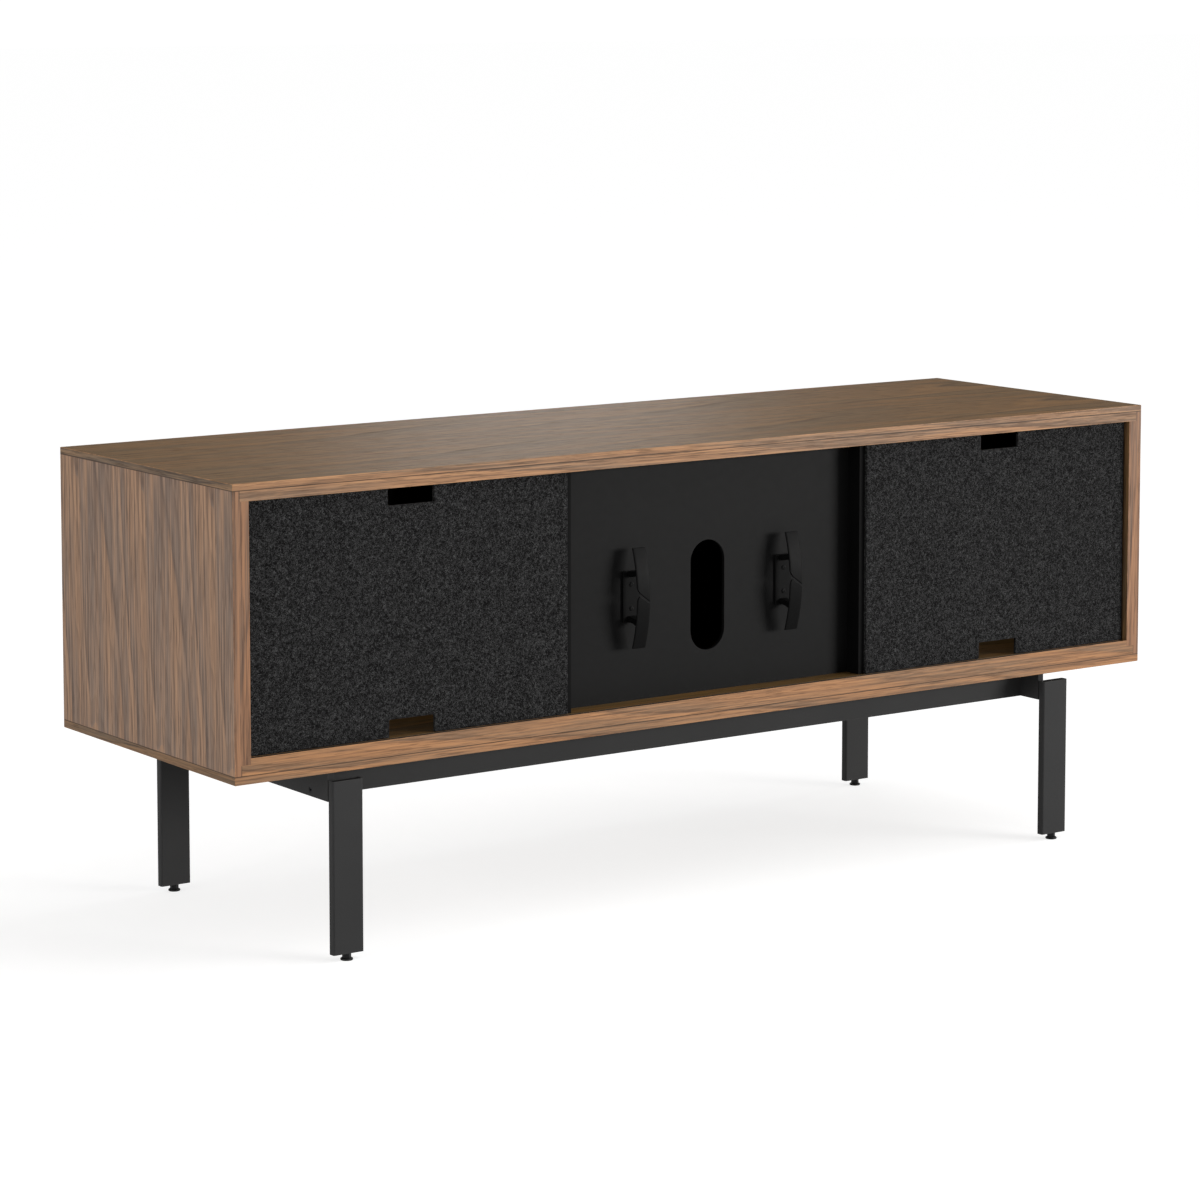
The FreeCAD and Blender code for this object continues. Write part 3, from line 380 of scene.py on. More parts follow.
def dust():
    """Faint pale dust: broad soft patches broken by specks."""
    def build(t, i):
        patch = smooth(t, noise(t, i["Vector"], 9.0, 3.0, 0.6), 0.35, 0.75)
        speck = smooth(t, noise(t, i["Vector"], 900.0, 2.0, 0.7), 0.45, 0.75)
        return (product(t, patch, speck, i["Amount"]),)
    return group("dust", [("Vector", VECTOR, None), ("Amount", FLOAT, 0.1)],
                 [("Mask", FLOAT)], build)


def fine_texture():
    """Orange peel or moulded grain: two sizes of small bumps."""
    def build(t, i):
        small = noise(t, i["Vector"], i["Grain"])
        large = noise(t, i["Vector"], product(t, i["Grain"], 0.16))
        spread = maths(t, "SUBTRACT", large, 0.5)
        return (total(t, small, product(t, large, 1.6)),
                total(t, i["Roughness"], product(t, spread, i["Spread"])))
    return group("fine texture", [("Vector", VECTOR, None), ("Grain", FLOAT, 1500.0),
                 ("Roughness", FLOAT, 0.5), ("Spread", FLOAT, 0.12)],
                 [("Height", FLOAT), ("Roughness", FLOAT)], build)


def felt_fibres():
    """Matted fibres: short flecks that run in all directions, over soft clumps."""
    def build(t, i):
        v = i["Vector"]
        bend = vector_maths(t, "SUBTRACT", noise(t, v, 220.0, channel="Color"), (0.5, 0.5, 0.5))
        bent = vector_maths(t, "ADD", v, scaled(t, bend, (0.011, 0.011, 0.011)))
        lying = noise(t, scaled(t, bent, (420.0, 560.0, 1000.0)), 1.0, 2.0, 0.6)
        upright = noise(t, scaled(t, bent, (1000.0, 560.0, 420.0)), 1.0, 2.0, 0.6)
        clump = noise(t, v, 230.0, 2.0, 0.6)
        wisps = noise(t, scaled(t, bent, (900.0, 900.0, 900.0)), 1.0, 1.0)
        mixed = total(t, product(t, maths(t, "MAXIMUM", lying, upright), 0.8),
                      product(t, clump, 0.2))
        fleck = product(t, smooth(t, mixed, 0.51, 0.63), smooth(t, wisps, 0.35, 0.62, 0.35, 1.0))
        return (blend_colours(t, fleck, i["Ground"], i["Fleck"]),
                total(t, mixed, product(t, wisps, 0.35)))
    return group("felt fibres", [("Vector", VECTOR, None), ("Ground", COLOUR, None),
                 ("Fleck", COLOUR, None)], [("Color", COLOUR), ("Height", FLOAT)], build)


def corners(node):
    """A CAD node's lowest and highest corners at rest, as arrays."""
    low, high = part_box(node)
    return np.array(low), np.array(high)


def new_material(name):
    """An empty material: its node tree, its shader, its Object coordinates and its normals."""
    material = bpy.data.materials.new(name)
    material.use_nodes = True
    tree = material.node_tree
    shader = next(n for n in tree.nodes if n.type == "BSDF_PRINCIPLED")
    surface = tree.nodes.new("ShaderNodeTexCoord").outputs
    return material, tree, shader, surface["Object"], surface["Normal"]


def finish_with(tree, shader, height, strength, distance, **sockets):
    """Feeds a bump into the shader, and a value or a link into each socket that is named."""
    bump = add(tree, "ShaderNodeBump", {"Strength": strength, "Distance": distance,
               "Height": height})
    tree.links.new(bump.outputs[0], shader.inputs["Normal"])
    for key, value in sockets.items():
        feed(tree, shader.inputs[key.replace("_", " ")], value)


def facing(tree, normal, axis):
    """1 on the faces that point along an axis, either way, and 0 on the others."""
    along = maths(tree, "ABSOLUTE", split(tree, normal)["XYZ".index(axis)])
    return maths(tree, "GREATER_THAN", along, FACING)


def rubbed(tree, point, node, colour, bare, amount):
    """The colour, with the long edges of a node's box rubbed through to the bare one."""
    low, high = corners(node)
    worn = place(tree, edge_wear(), Vector=point, Centre=tuple((low + high) / 2),
                 Half_Size=tuple((high - low) / 2), Width=WORN_WIDTH, Amount=amount)[0]
    return blend_colours(tree, worn, colour, bare)


def walnut(name, node, grain, offset, tint=(1.0, 1.0, 1.0), lean=0.02, taper=0.06, aside=0.13,
           pith=0.08, rings=1.0, leaf=0.2, figure=0.02, contrast=0.7, fibre=0.4, grit=220.0,
           seams=(), band=None, groove_shade=None, face_tone_and_shade=None, within=None):
    """Walnut veneer on one board.

    grain is the axis that the fibres follow.  band is an axis and a tint: the faces across that
    axis wear an edge band with its fibres along Y.  seams lists (axis, place, lowest, highest): a
    dark joint line across an axis, between two heights.  groove_shade, two places in Y and two
    heights, is painted shade: a nearly black strip inside the groove along the floor.
    face_tone_and_shade, an axis and a tint, colours the faces across that axis apart from the
    edges: on the top and the floor it is painted shade, darker than their lit edges, and on the
    sides it makes the broad faces greyer than the edges.  within, a distance from the
    middle and a tint, is painted shade: it darkens what lies nearer to the middle than that, the
    sides' inner faces in the bays.
    """
    tones = bpy.context.scene.cabinet_wood
    material, tree, shader, point, normal = new_material(name)
    px, py, pz = split(tree, point)
    turn = {"X": (0, 0, 0), "Z": (0, math.radians(90), 0), "Y": (0, 0, math.radians(-90))}
    along = add(tree, "ShaderNodeMapping", {"Vector": point, "Rotation": turn[grain]}).outputs[0]
    if band:
        banded = add(tree, "ShaderNodeMapping", {"Vector": point, "Rotation": turn["Y"],
                     "Location": (0.31, 0.17, 0.05)}).outputs[0]
        chosen = add(tree, "ShaderNodeMix", data_type="VECTOR")
        for key, value in (("Factor", facing(tree, normal, band[0])), (4, along), (5, banded)):
            feed(tree, chosen.inputs[key], value)
        along = chosen.outputs[1]
    light, middle, grey, dark = (tuple(c * k for c, k in zip(tone, tint))
                                 for tone in (tones.light, tones.middle, tones.grey, tones.dark))
    colour, rough, height = place(tree, walnut_figure(), Vector=along, Offset=offset, Light=light,
                                  Middle=middle, Grey=grey, Dark=dark, Leaf=leaf, Figure=figure,
                                  Ring_Spacing=tones.ring_spacing * rings, Lean=lean,
                                  Taper=taper, Aside=aside, Pith=pith, Contrast=contrast,
                                  Fibre=fibre, Fibre_Scale=grit)
    # The second tint darkens the top's and the floor's faces against their lit edges as painted
    # shade, and makes the sides' broad faces greyer.
    for axis, shade in filter(None, (band, face_tone_and_shade)):
        colour = tinted(tree, facing(tree, normal, axis), colour, shade)
    # Painted shade: the sides' inner faces, in the bays, take a darker tint.
    if within:
        inner_shade_mask = maths(tree, "LESS_THAN", maths(tree, "ABSOLUTE", px), within[0])
        colour = tinted(tree, inner_shade_mask, colour, within[1])
    colour = rubbed(tree, point, node, colour, times(light, 1.5), 0.30)
    for axis, at, lowest, highest in seams:
        gap = maths(tree, "ABSOLUTE", maths(tree, "SUBTRACT", {"X": px, "Z": pz}[axis], at))
        line = smooth(tree, gap, tones.seam * SEAM_CORE, tones.seam, SEAM_DARKNESS, 0.0)
        line = product(tree, line, between(tree, pz, lowest, highest))
        colour = blend_colours(tree, line, colour, times(dark, 0.25))
    # Painted shade: the groove along the floor is painted nearly black.
    if groove_shade:
        inside = product(tree, between(tree, py, *groove_shade[:2]), between(tree, pz, *groove_shade[2:]))
        colour = blend_colours(tree, inside, colour, times(dark, 0.05))
    haze = place(tree, dust(), Vector=point, Amount=0.04)[0]
    finish_with(tree, shader, height, 0.25, 0.0004, Roughness=rough, Specular_IOR_Level=0.28,
                Base_Color=blend_colours(tree, haze, colour, DUST_ON_WOOD))
    return material


def black_finish(name, colour, roughness, grain, spread=0.12, bump=0.12, edge=None, dusting=0.02,
                 metallic=0.0, gloss=0.25, end=None):
    """Lacquer, stain, powder coat or moulded plastic, by its grain size and roughness.

    edge is the node whose long edges are rubbed.  end is another colour for the narrow edges at
    the front and the rear; on the dividers it is the lacquer, beside the darker stain that paints
    shade on their faces.
    """
    material, tree, shader, point, normal = new_material(name)
    height, rough = place(tree, fine_texture(), Vector=point, Grain=grain, Roughness=roughness,
                          Spread=spread)
    speck = place(tree, dust(), Vector=point, Amount=dusting)[0]
    tone = blend_colours(tree, speck, colour, DUST_ON_BLACK)
    cloud = smooth(tree, noise(tree, point, 6.0, 3.0, 0.55), 0.3, 0.7, 0.0, 0.25)
    tone = blend_colours(tree, cloud, tone, times(colour, 0.6))
    # On the dividers the ends keep the lacquer, while their faces take the darker stain as painted
    # shade.
    if end:
        tone = blend_colours(tree, facing(tree, normal, "Y"), tone, end)
    if edge:
        tone = rubbed(tree, point, edge, tone, RUBBED_BLACK, 0.35)
    finish_with(tree, shader, height, bump, 0.0003, Base_Color=tone, Roughness=rough,
                Metallic=metallic, Specular_IOR_Level=gloss)
    return material


def bare_metal(name, colour, roughness):
    """Zinc plate: a metal with fine drawn lines and cloudy roughness."""
    material, tree, shader, point, _ = new_material(name)
    lines = noise(tree, scaled(tree, point, (1500.0, 1500.0, 120.0)), 1.0, 3.0, 0.6)
    cloud = smooth(tree, noise(tree, point, 180.0, 3.0), 0.3, 0.7, 0.0, 0.5)
    finish_with(tree, shader, lines, 0.08, 0.0002, Metallic=1.0,
                Base_Color=blend_colours(tree, cloud, colour, times(colour, 0.7)),
                Roughness=total(tree, roughness, product(tree, lines, 0.15)))
    return material


def pale_finish(name, colour, roughness, stretch):
    """Beech or nylon: pale, with a faint grain drawn out by stretch."""
    material, tree, shader, point, _ = new_material(name)
    lines = noise(tree, scaled(tree, point, stretch), 1.0, 3.0, 0.6)
    streak = smooth(tree, lines, 0.35, 0.7, 0.0, 0.6)
    finish_with(tree, shader, lines, 0.1, 0.0002, Roughness=roughness,
                Base_Color=blend_colours(tree, streak, colour, times(colour, 0.72)))
    return material


def felt():
    """Charcoal pressed felt."""
    tones = bpy.context.scene.cabinet_felt
    material, tree, shader, point, _ = new_material("charcoal_felt_fibres")
    colour, height = place(tree, felt_fibres(), Vector=point, Ground=tuple(tones.ground),
                           Fleck=tuple(tones.fleck))
    finish_with(tree, shader, height, 0.6, 0.0010, Base_Color=colour, Roughness=0.95,
                Sheen_Weight=0.03, Sheen_Roughness=0.5, Specular_IOR_Level=0.05)
    return material


def dress(material, *nodes):
    """Puts a material on CAD nodes, through their objects' material slots."""
    for name in nodes:
        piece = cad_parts[name]
        if not piece.material_slots:
            piece.data.materials.append(material)
        for entry in piece.material_slots:
            entry.link = "OBJECT"
            entry.material = material


# --- mesh helpers ----------------------------------------------------------------------------
def piece_from(name, points, faces, material, body, node, shade=True):
    """A mesh piece that stands for a CAD node, with doubles merged and faces turned outwards."""
    mesh = bpy.data.meshes.new(name)
    mesh.from_pydata([tuple(p) for p in np.asarray(points).tolist()], [],
                     [tuple(f) for f in faces])
    work = bmesh.new()
    work.from_mesh(mesh)
    bmesh.ops.remove_doubles(work, verts=work.verts, dist=2e-6)
    bmesh.ops.dissolve_degenerate(work, edges=work.edges, dist=1e-7)
    bmesh.ops.recalc_face_normals(work, faces=work.faces)
    work.to_mesh(mesh)
    work.free()
    if shade:
        mesh.shade_smooth()
    mesh.materials.append(material)
    piece = bpy.data.objects.new(name, mesh)
    bpy.context.scene.collection.objects.link(piece)
    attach(piece, body)
    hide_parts(node)
    return piece


def grid_faces(rows, columns, wrap=False):
    """Quads of a grid of points in row order; wrap joins the last column to the first."""
    r = np.arange(rows - 1)[:, None]
    c = np.arange(columns if wrap else columns - 1)[None, :]
    right = (c + 1) % columns
    quads = np.stack([r * columns + c, r * columns + right, (r + 1) * columns + right,
                      (r + 1) * columns + c], axis=-1)
    return quads.reshape(-1, 4).tolist()


def join(parts):
    """Several (points, faces) pairs as one pair."""
    points, faces, count = [], [], 0
    for part_points, part_faces in parts:
        points.append(part_points)
        faces += [[i + count for i in face] for face in part_faces]
        count += len(part_points)
    return np.concatenate(points), faces


def turned(profile, centre, axis="Z", steps=48, ripple=None):
    """A profile of (radius, height) turned about an upright or a Y axis through centre.

    Point (i, j) is radius_i * (cos a_j, sin a_j) at height_i, with a_j = 2 pi j / steps.
    ripple(radius, height, angle) may change the radius, as a thread does.
    """
    profile = np.array(profile, float)
    angle = np.linspace(0, 2 * np.pi, steps, endpoint=False)[None, :]
    radius = profile[:, :1] + 0 * angle
    height = profile[:, 1:] + 0 * angle
    if ripple is not None:
        radius = ripple(radius, height, angle + 0 * radius)
    ring = np.stack([radius * np.cos(angle), radius * np.sin(angle), height], axis=-1)
    if axis == "Y":
        ring = ring[..., [0, 2, 1]]
    points = ring.reshape(-1, 3) + np.array(centre)
    return points, grid_faces(len(profile), steps, wrap=True)


def arc(radius, steps):
    """A quarter circle from its top: rows of (sine, cosine), times the radius."""
    angle = np.linspace(0, np.pi / 2, steps)
    return np.stack([np.sin(angle), np.cos(angle)], axis=-1) * radius


def rounded_block(low, high, radius, cells=(6, 6, 6)):
    """A box with rounded edges: each surface point of a cube is pulled back to the inner box
    and pushed out again along its own direction by the radius."""
    low, high = np.array(low, float), np.array(high, float)
    near = np.array([0.0, 0.35, 0.7]) * radius
    parts = []
    for axis in range(3):
        others = [a for a in range(3) if a != axis]
        lines = [np.concatenate([low[a] + near,
                                 np.linspace(low[a] + radius, high[a] - radius, cells[a] + 1),
                                 high[a] - near[::-1]]) for a in others]
        u, v = np.meshgrid(*lines, indexing="ij")
        for end in (low, high):
            p = np.empty(u.shape + (3,))
            p[..., others[0]], p[..., others[1]], p[..., axis] = u, v, end[axis]
            core = np.clip(p, low + radius, high - radius)
            way = p - core
            length = np.linalg.norm(way, axis=-1, keepdims=True)
            p = core + way / np.maximum(length, 1e-12) * radius
            parts.append((p.reshape(-1, 3), grid_faces(*u.shape)))
    return join(parts)


# --- pieces ----------------------------------------------------------------------------------
class CABINET_OT_walnut(bpy.types.Operator):
    """Veneer the case boards, the shelves and the doors"""
    bl_idname = "cabinet.walnut"
    bl_label = "Walnut boards"

    def execute(self, context):
        low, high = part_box("left_side")
        lap = abs(low[0]) - CORNER_LAP
        foot, head = CAD_BOX[0][2], CAD_BOX[1][2]
        # The top's upper face and underside are darkened against its lit edges: painted shade.
        dress(walnut("walnut_top_veneer", "top_panel", "X", (0.13, 0.22, -head),
                     tint=(1.44, 1.27, 1.03), lean=0.03, taper=0.05, aside=0.02, pith=0.10,
                     leaf=0.26, contrast=0.60, fibre=0.60, grit=330.0,
                     seams=(("Z", high[2], foot, head), ("X", lap, foot, high[2]),
                            ("X", -lap, foot, high[2])),
                     band=("X", END_BAND), face_tone_and_shade=("Z", (0.66, 0.65, 0.45))), "top_panel")
        bottom_low, bottom_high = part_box("bottom_panel")
        rear, floor = bottom_low[1], bottom_high[2]
        # Painted shade: the floor's faces take a dark olive tint for the shade in the bays, and
        # the groove a nearly black strip.
        dress(walnut("walnut_bottom_veneer", "bottom_panel", "X", (0.71, 0.22, -0.25),
                     tint=(1.42, 1.16, 0.84), lean=0.05, taper=0.04, aside=0.02, pith=0.05,
                     rings=0.8, figure=0.015, contrast=0.7, fibre=0.5, grit=330.0,
                     seams=(("Z", low[2], foot, head), ("X", lap, low[2], head),
                            ("X", -lap, low[2], head)),
                     band=("X", END_BAND), face_tone_and_shade=("Z", (0.44, 0.46, 0.26)),
                     groove_shade=(rear + GROOVE_START, rear + GROOVE_END, floor - GROOVE_DEPTH,
                             floor - 0.0001)), "bottom_panel")
        for name, offset, turn in (("left_side", (0.4, -0.17, low[0]), -1.0),
                                   ("right_side", (0.9, 0.15, -low[0]), 1.0)):
            # The sides' inner faces are darkened for the shade in the bays (painted shade), and
            # their broad faces are greyer than their edges.
            dress(walnut("walnut_" + name, name, "Z", offset, tint=(1.11, 0.93, 0.80),
                         lean=0.03 * turn, taper=0.11, aside=0.13 * turn, rings=1.4, figure=0.03,
                         contrast=0.8, fibre=0.58, grit=190.0,
                         seams=(("Z", low[2], foot, head), ("Z", high[2], foot, head)),
                         face_tone_and_shade=("X", (0.97, 1.17, 1.41)),
                         within=(abs(high[0]) + 0.0002, (0.58, 0.52, 0.34))), name)
        for name in ("left_door", "centre_flap", "right_door"):
            dress(walnut("walnut_" + name, name, "X", (0.2, -0.45, -0.2),
                         tint=(1.22, 1.10, 1.0), pith=0.03, figure=0.045, rings=1.3), name)
        for name, offset in (("left_shelf", (0.5, 0.1, -0.488)),
                             ("right_shelf", (0.9, 0.2, -0.488))):
            dress(walnut("walnut_" + name, name, "X", offset), name)
        return {"FINISHED"}


class CABINET_OT_black_boards(bpy.types.Operator):
    """Lacquer the centre panel and stain the dividers and cover cleats, the stain darker than the
    lacquer as painted shade on the dividers' faces
    """
    bl_idname = "cabinet.black_boards"
    bl_label = "Black boards"

    def execute(self, context):
        tones = context.scene.cabinet_black
        lacquer, stain_and_shade = tuple(tones.lacquer), tuple(tones.stain_and_shade)
        dress(black_finish("black_lacquer", lacquer, 0.5, 700.0, bump=0.04, dusting=0.006,
                           gloss=0.10), "centre_back_panel")
        # The dividers' faces take the darker stain as painted shade in the bays; their front and
        # rear ends take the lacquer.
        looks = dict(colour=stain_and_shade, roughness=0.65, grain=900.0, bump=0.1, dusting=0.004,
                     gloss=0.05)
        dress(black_finish("black_stain", **looks), "left_cover_cleat", "right_cover_cleat")
        for name in ("left_divider", "right_divider"):
            dress(black_finish(name + "_stain", end=lacquer, **looks), name)
        return {"FINISHED"}


class CABINET_OT_felt_covers(bpy.types.Operator):
    """Cut the felt covers, with their finger notches"""
    bl_idname = "cabinet.felt_covers"
    bl_label = "Felt covers"

    def execute(self, context):
        material = felt()
        for side in ("left", "right"):
            self.cover(side, context.scene.cabinet_felt, material)
        return {"FINISHED"}

    def cover(self, side, sizes, material):
        """A sheet on a grid in X and Z, less two notches, thickened and with rounded edges.

        Its middle surface is y = middle + ripple * sin(a x + b) * sin(c z + d x).
        """
        node = side + "_felt_cover"
        low, high = corners(node)
        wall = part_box(side + "_side")
        inner_edge = min(low[0], high[0], key=abs)
        middle = (inner_edge + min(wall[0][0], wall[1][0], key=abs)) / 2
        x = self.lines((low[0], middle - NOTCH_HALF, middle + NOTCH_HALF, high[0]), sizes.cell)
        z = self.lines((low[2], low[2] + NOTCH_DEPTH, high[2] - NOTCH_DEPTH, high[2]), sizes.cell)
        gx, gz = np.meshgrid(x, z, indexing="ij")
        ripple = sizes.ripple * np.sin(23.0 * gx + 0.7) * np.sin(31.0 * gz + 1.9 * gx)
        points = np.stack([gx, (low[1] + high[1]) / 2 + ripple, gz], axis=-1).reshape(-1, 3)
        mid_x = (x[1:] + x[:-1])[:, None] / 2
        mid_z = (z[1:] + z[:-1])[None, :] / 2
        in_notch = (abs(mid_x - middle) < NOTCH_HALF) & ((mid_z < low[2] + NOTCH_DEPTH)
                                                         | (mid_z > high[2] - NOTCH_DEPTH))
        quads = np.array(grid_faces(len(x), len(z)))[~in_notch.reshape(-1)]
        used = np.unique(quads)
        renumber = np.full(len(points), -1)
        renumber[used] = np.arange(len(used))
        piece = piece_from("felt_sheet_" + side, points[used], renumber[quads].tolist(), material,
                           node, node, shade=False)
        thicken = piece.modifiers.new("thickness", "SOLIDIFY")
        thicken.thickness = high[1] - low[1]
        thicken.offset = 0.0
        soften = piece.modifiers.new("cut edge", "BEVEL")
        soften.width = sizes.edge_round
        soften.segments = 2
        soften.limit_method = "ANGLE"
        soften.angle_limit = math.radians(40)

    @staticmethod
    def lines(stops, cell):
        """Grid lines that pass through each stop, about a cell apart."""
        runs = [np.linspace(a, b, max(2, round((b - a) / cell) + 1))[:-1]
                for a, b in zip(stops[:-1], stops[1:])]
        return np.concatenate(runs + [np.array([stops[-1]])])


class CABINET_OT_cord_cleats(bpy.types.Operator):
    """Mould the two cord cleats"""
    bl_idname = "cabinet.cord_cleats"
    bl_label = "Cord cleats"

    def execute(self, context):
        material = black_finish("cleat_plastic", tuple(context.scene.cabinet_black.plastic), 0.48,
                                1200.0, bump=0.05, dusting=0.005, spread=0.08, gloss=0.06)
        for node in ("left_cord_cleat", "right_cord_cleat"):
            low, high = corners(node)
            middle = (low + high) / 2
            parts = [rounded_block((low[0], high[1] - CLEAT_PLATE_THICK,
                                    middle[2] - CLEAT_PLATE_HALF),
                                   (high[0], high[1], middle[2] + CLEAT_PLATE_HALF),
                                   0.0009, (6, 1, 10))]
            for up in (1, -1):
                parts.append(self.post(middle, low[1], high[1], up))
                parts.append(self.tongue(middle, low, high, up))
            points, faces = join(parts)
            piece_from("moulded_" + node, points, faces, material, "case", node)
        return {"FINISHED"}

    @staticmethod
    def post(middle, front, back, up):
        """A rounded block whose section shrinks and slides from the plate to the bow.

        At share t of its length it stands at + slide * t ** 1.6 from the cleat's middle, and its
        section narrows by a sine wave that is nothing at both ends.
        """
        points, faces = rounded_block((-1, 0, -1), (1, 1, 1), 0.12, (3, 8, 3))
        t = points[:, 1]
        narrowing = np.sin(np.pi * t)
        height = POST_AT + POST_SLIDE * t ** 1.6
        half_z = (POST_ROOT + (POST_TIP - POST_ROOT) * t - POST_WAIST * narrowing) / 2
        half_x = POST_HALF_WIDTH - POST_PINCH * narrowing
        y_root, y_tip = back - POST_SUNK, front + POST_SHORT
        placed = np.stack([middle[0] + points[:, 0] * half_x, y_root + (y_tip - y_root) * t,
                           middle[2] + up * (height + points[:, 2] * half_z)], axis=-1)
        return placed, faces

    @staticmethod
    def tongue(middle, low, high, up):
        """Half of the bow: a flattened round section carried along a circle's arc.

        The bow's outer face is a circle through its middle and its two ends.  Section angle s
        gives (x, depth) = (half width * c, half thickness * d), where c and d are cos s and sin s
        to the power SQUARENESS, signed.  The length runs from the bow's end to an edge that
        slants across the width, and the thickness falls to nothing at both ends.
        """
        steps_s, steps_v = 56, 60
        s = np.linspace(0, 2 * np.pi, steps_s, endpoint=False)[None, :]
        v = (0.5 - 0.5 * np.cos(np.linspace(0, np.pi, steps_v)))[:, None]
        c = np.sign(np.cos(s)) * abs(np.cos(s)) ** SQUARENESS
        d = np.sign(np.sin(s)) * abs(np.sin(s)) ** SQUARENESS
        end_gap = np.minimum(v, 1 - v) / BOW_END_ROUND
        round_off = np.sqrt(np.clip(1 - (1 - np.clip(end_gap, 0, 1)) ** 2, 0, 1))
        across = (BOW_HALF_WIDTH - 0.0008 * (1 - round_off)) * c
        half_thick = BOW_HALF_THICK * round_off
        if up > 0:
            start = high[2]
            rise = (0.0162, 0.0138, 0.0112, 0.0088, 0.0062, -0.0052)
        else:
            start = low[2]
            rise = (-0.0040, 0.0006, 0.0034, 0.0047, 0.0034, -0.0078)
        share = (across + BOW_HALF_WIDTH) / (2 * BOW_HALF_WIDTH)
        stop = middle[2] + np.interp(share, (0.0, 0.06, 0.12, 0.20, 0.32, 1.0), rise)
        z = start + (stop - start) * v
        half = (high[2] - low[2]) / 2
        radius = (half ** 2 + BOW_RISE ** 2) / (2 * BOW_RISE)
        outer = low[1] + radius - np.sqrt(radius ** 2 - (z - middle[2]) ** 2)
        slant = (z - middle[2]) / radius
        y = outer + BOW_HALF_THICK + half_thick * d
        z = z - half_thick * d * slant
        points = np.stack([middle[0] + across + 0 * v, y, z], axis=-1).reshape(-1, 3)
        return points, grid_faces(steps_v, steps_s, wrap=True)


class CABINET_OT_steel_frame(bpy.types.Operator):
    """Powder coat the legs, bars, beams and tabs"""
    bl_idname = "cabinet.steel_frame"
    bl_label = "Steel frame"

    def execute(self, context):
        tones = context.scene.cabinet_black
        looks = dict(colour=tuple(tones.powder), roughness=0.52, grain=1700.0, bump=0.16,
                     dusting=0.05, gloss=0.12)
        for name in ("rear_left_leg", "rear_right_leg", "front_left_leg", "front_right_leg",
                     "left_crossbar", "right_crossbar", "rear_beam", "front_beam"):
            dress(black_finish("powder_coat_" + name, edge=name, **looks), name)
        dress(black_finish("powder_coat", **looks), "frame_tabs")
        dress(black_finish("plug_plastic", times(tones.plastic, 0.5), 0.6, 900.0), "leg_caps",
              "leg_inserts")
        return {"FINISHED"}


class CABINET_OT_feet(bpy.types.Operator):
    """Turn the levelling feet, with threaded studs and round pads"""
    bl_idname = "cabinet.feet"
    bl_label = "Levelling feet"

    def execute(self, context):
        metal = black_finish("foot_black_zinc", (0.02, 0.02, 0.021), 0.38, 900.0, metallic=0.6,
                             dusting=0.04)
        pad = black_finish("foot_pad_nylon", (0.011, 0.011, 0.011), 0.5, 1100.0, dusting=0.06)
        for foot in ("rear_left_foot", "rear_right_foot", "front_left_foot", "front_right_foot"):
            self.stud(foot, metal)
            self.pad(foot, pad)
        return {"FINISHED"}

    @staticmethod
    def stud(foot, material):
        """A hexagonal collar with chamfered corners under a stud with a rolled thread."""
        node = foot + "_stud"
        low, high = corners(node)
        collar = (high[0] - low[0]) / 2
        shoulder = low[2] + COLLAR_TOP
        thread = np.linspace(shoulder + 0.0004, high[2] - STUD_POINT, 150)
        profile = [(0, low[2]), (collar - COLLAR_CHAMFER, low[2]),
                   (collar, low[2] + COLLAR_CHAMFER), (collar, shoulder - COLLAR_CHAMFER),
                   (collar - COLLAR_CHAMFER, shoulder), (STUD_RADIUS, shoulder)]
        profile += [(STUD_RADIUS, h) for h in thread]
        profile += [(STUD_RADIUS - STUD_POINT, high[2]), (0, high[2])]

        def ripple(radius, height, angle):
            """Flats on the collar; on the stud a ridge that climbs one pitch a turn."""
            turns = (height - shoulder) / THREAD_PITCH - angle / (2 * np.pi)
            wave = abs(turns % 1.0 - 0.5) * 2
            threaded = (height > shoulder + 0.0003) & (height < high[2] - 0.0005)
            radius = np.where(threaded, radius - THREAD_DEPTH * wave, radius)
            sector = (angle + np.pi / 6) % (np.pi / 3) - np.pi / 6
            flat = collar * math.cos(np.pi / 6) * HEXAGON_REACH / np.cos(sector)
            on_collar = (height <= shoulder) & (radius > STUD_RADIUS + 0.001)
            return np.where(on_collar, np.minimum(radius, flat), radius)
        x, y = (low[:2] + high[:2]) / 2
        points, faces = turned(profile, (x, y, 0), steps=60, ripple=ripple)
        piece_from("turned_" + node, points, faces, material, foot, node,
                   shade=False)

    @staticmethod
    def pad(foot, material):
        """A round pad: a shallow dish below, and two rounded edges."""
        node = foot + "_pad"
        low, high = corners(node)
        radius = (high[0] - low[0]) / 2
        tall = high[2] - low[2]
        profile = [(0, PAD_DISH), (radius * 0.45, PAD_DISH), (radius * 0.55, 0.0)]
        profile += [(radius - PAD_LOWER_ROUND + s, PAD_LOWER_ROUND - c)
                    for s, c in arc(PAD_LOWER_ROUND, 7)]
        profile += [(radius - PAD_UPPER_ROUND + c, tall - PAD_UPPER_ROUND + s)
                    for s, c in arc(PAD_UPPER_ROUND, 7)]
        profile += [(0, tall)]
        points, faces = turned(profile, (*(low[:2] + high[:2]) / 2, low[2]))
        piece_from("turned_" + node, points, faces, material, foot, node)


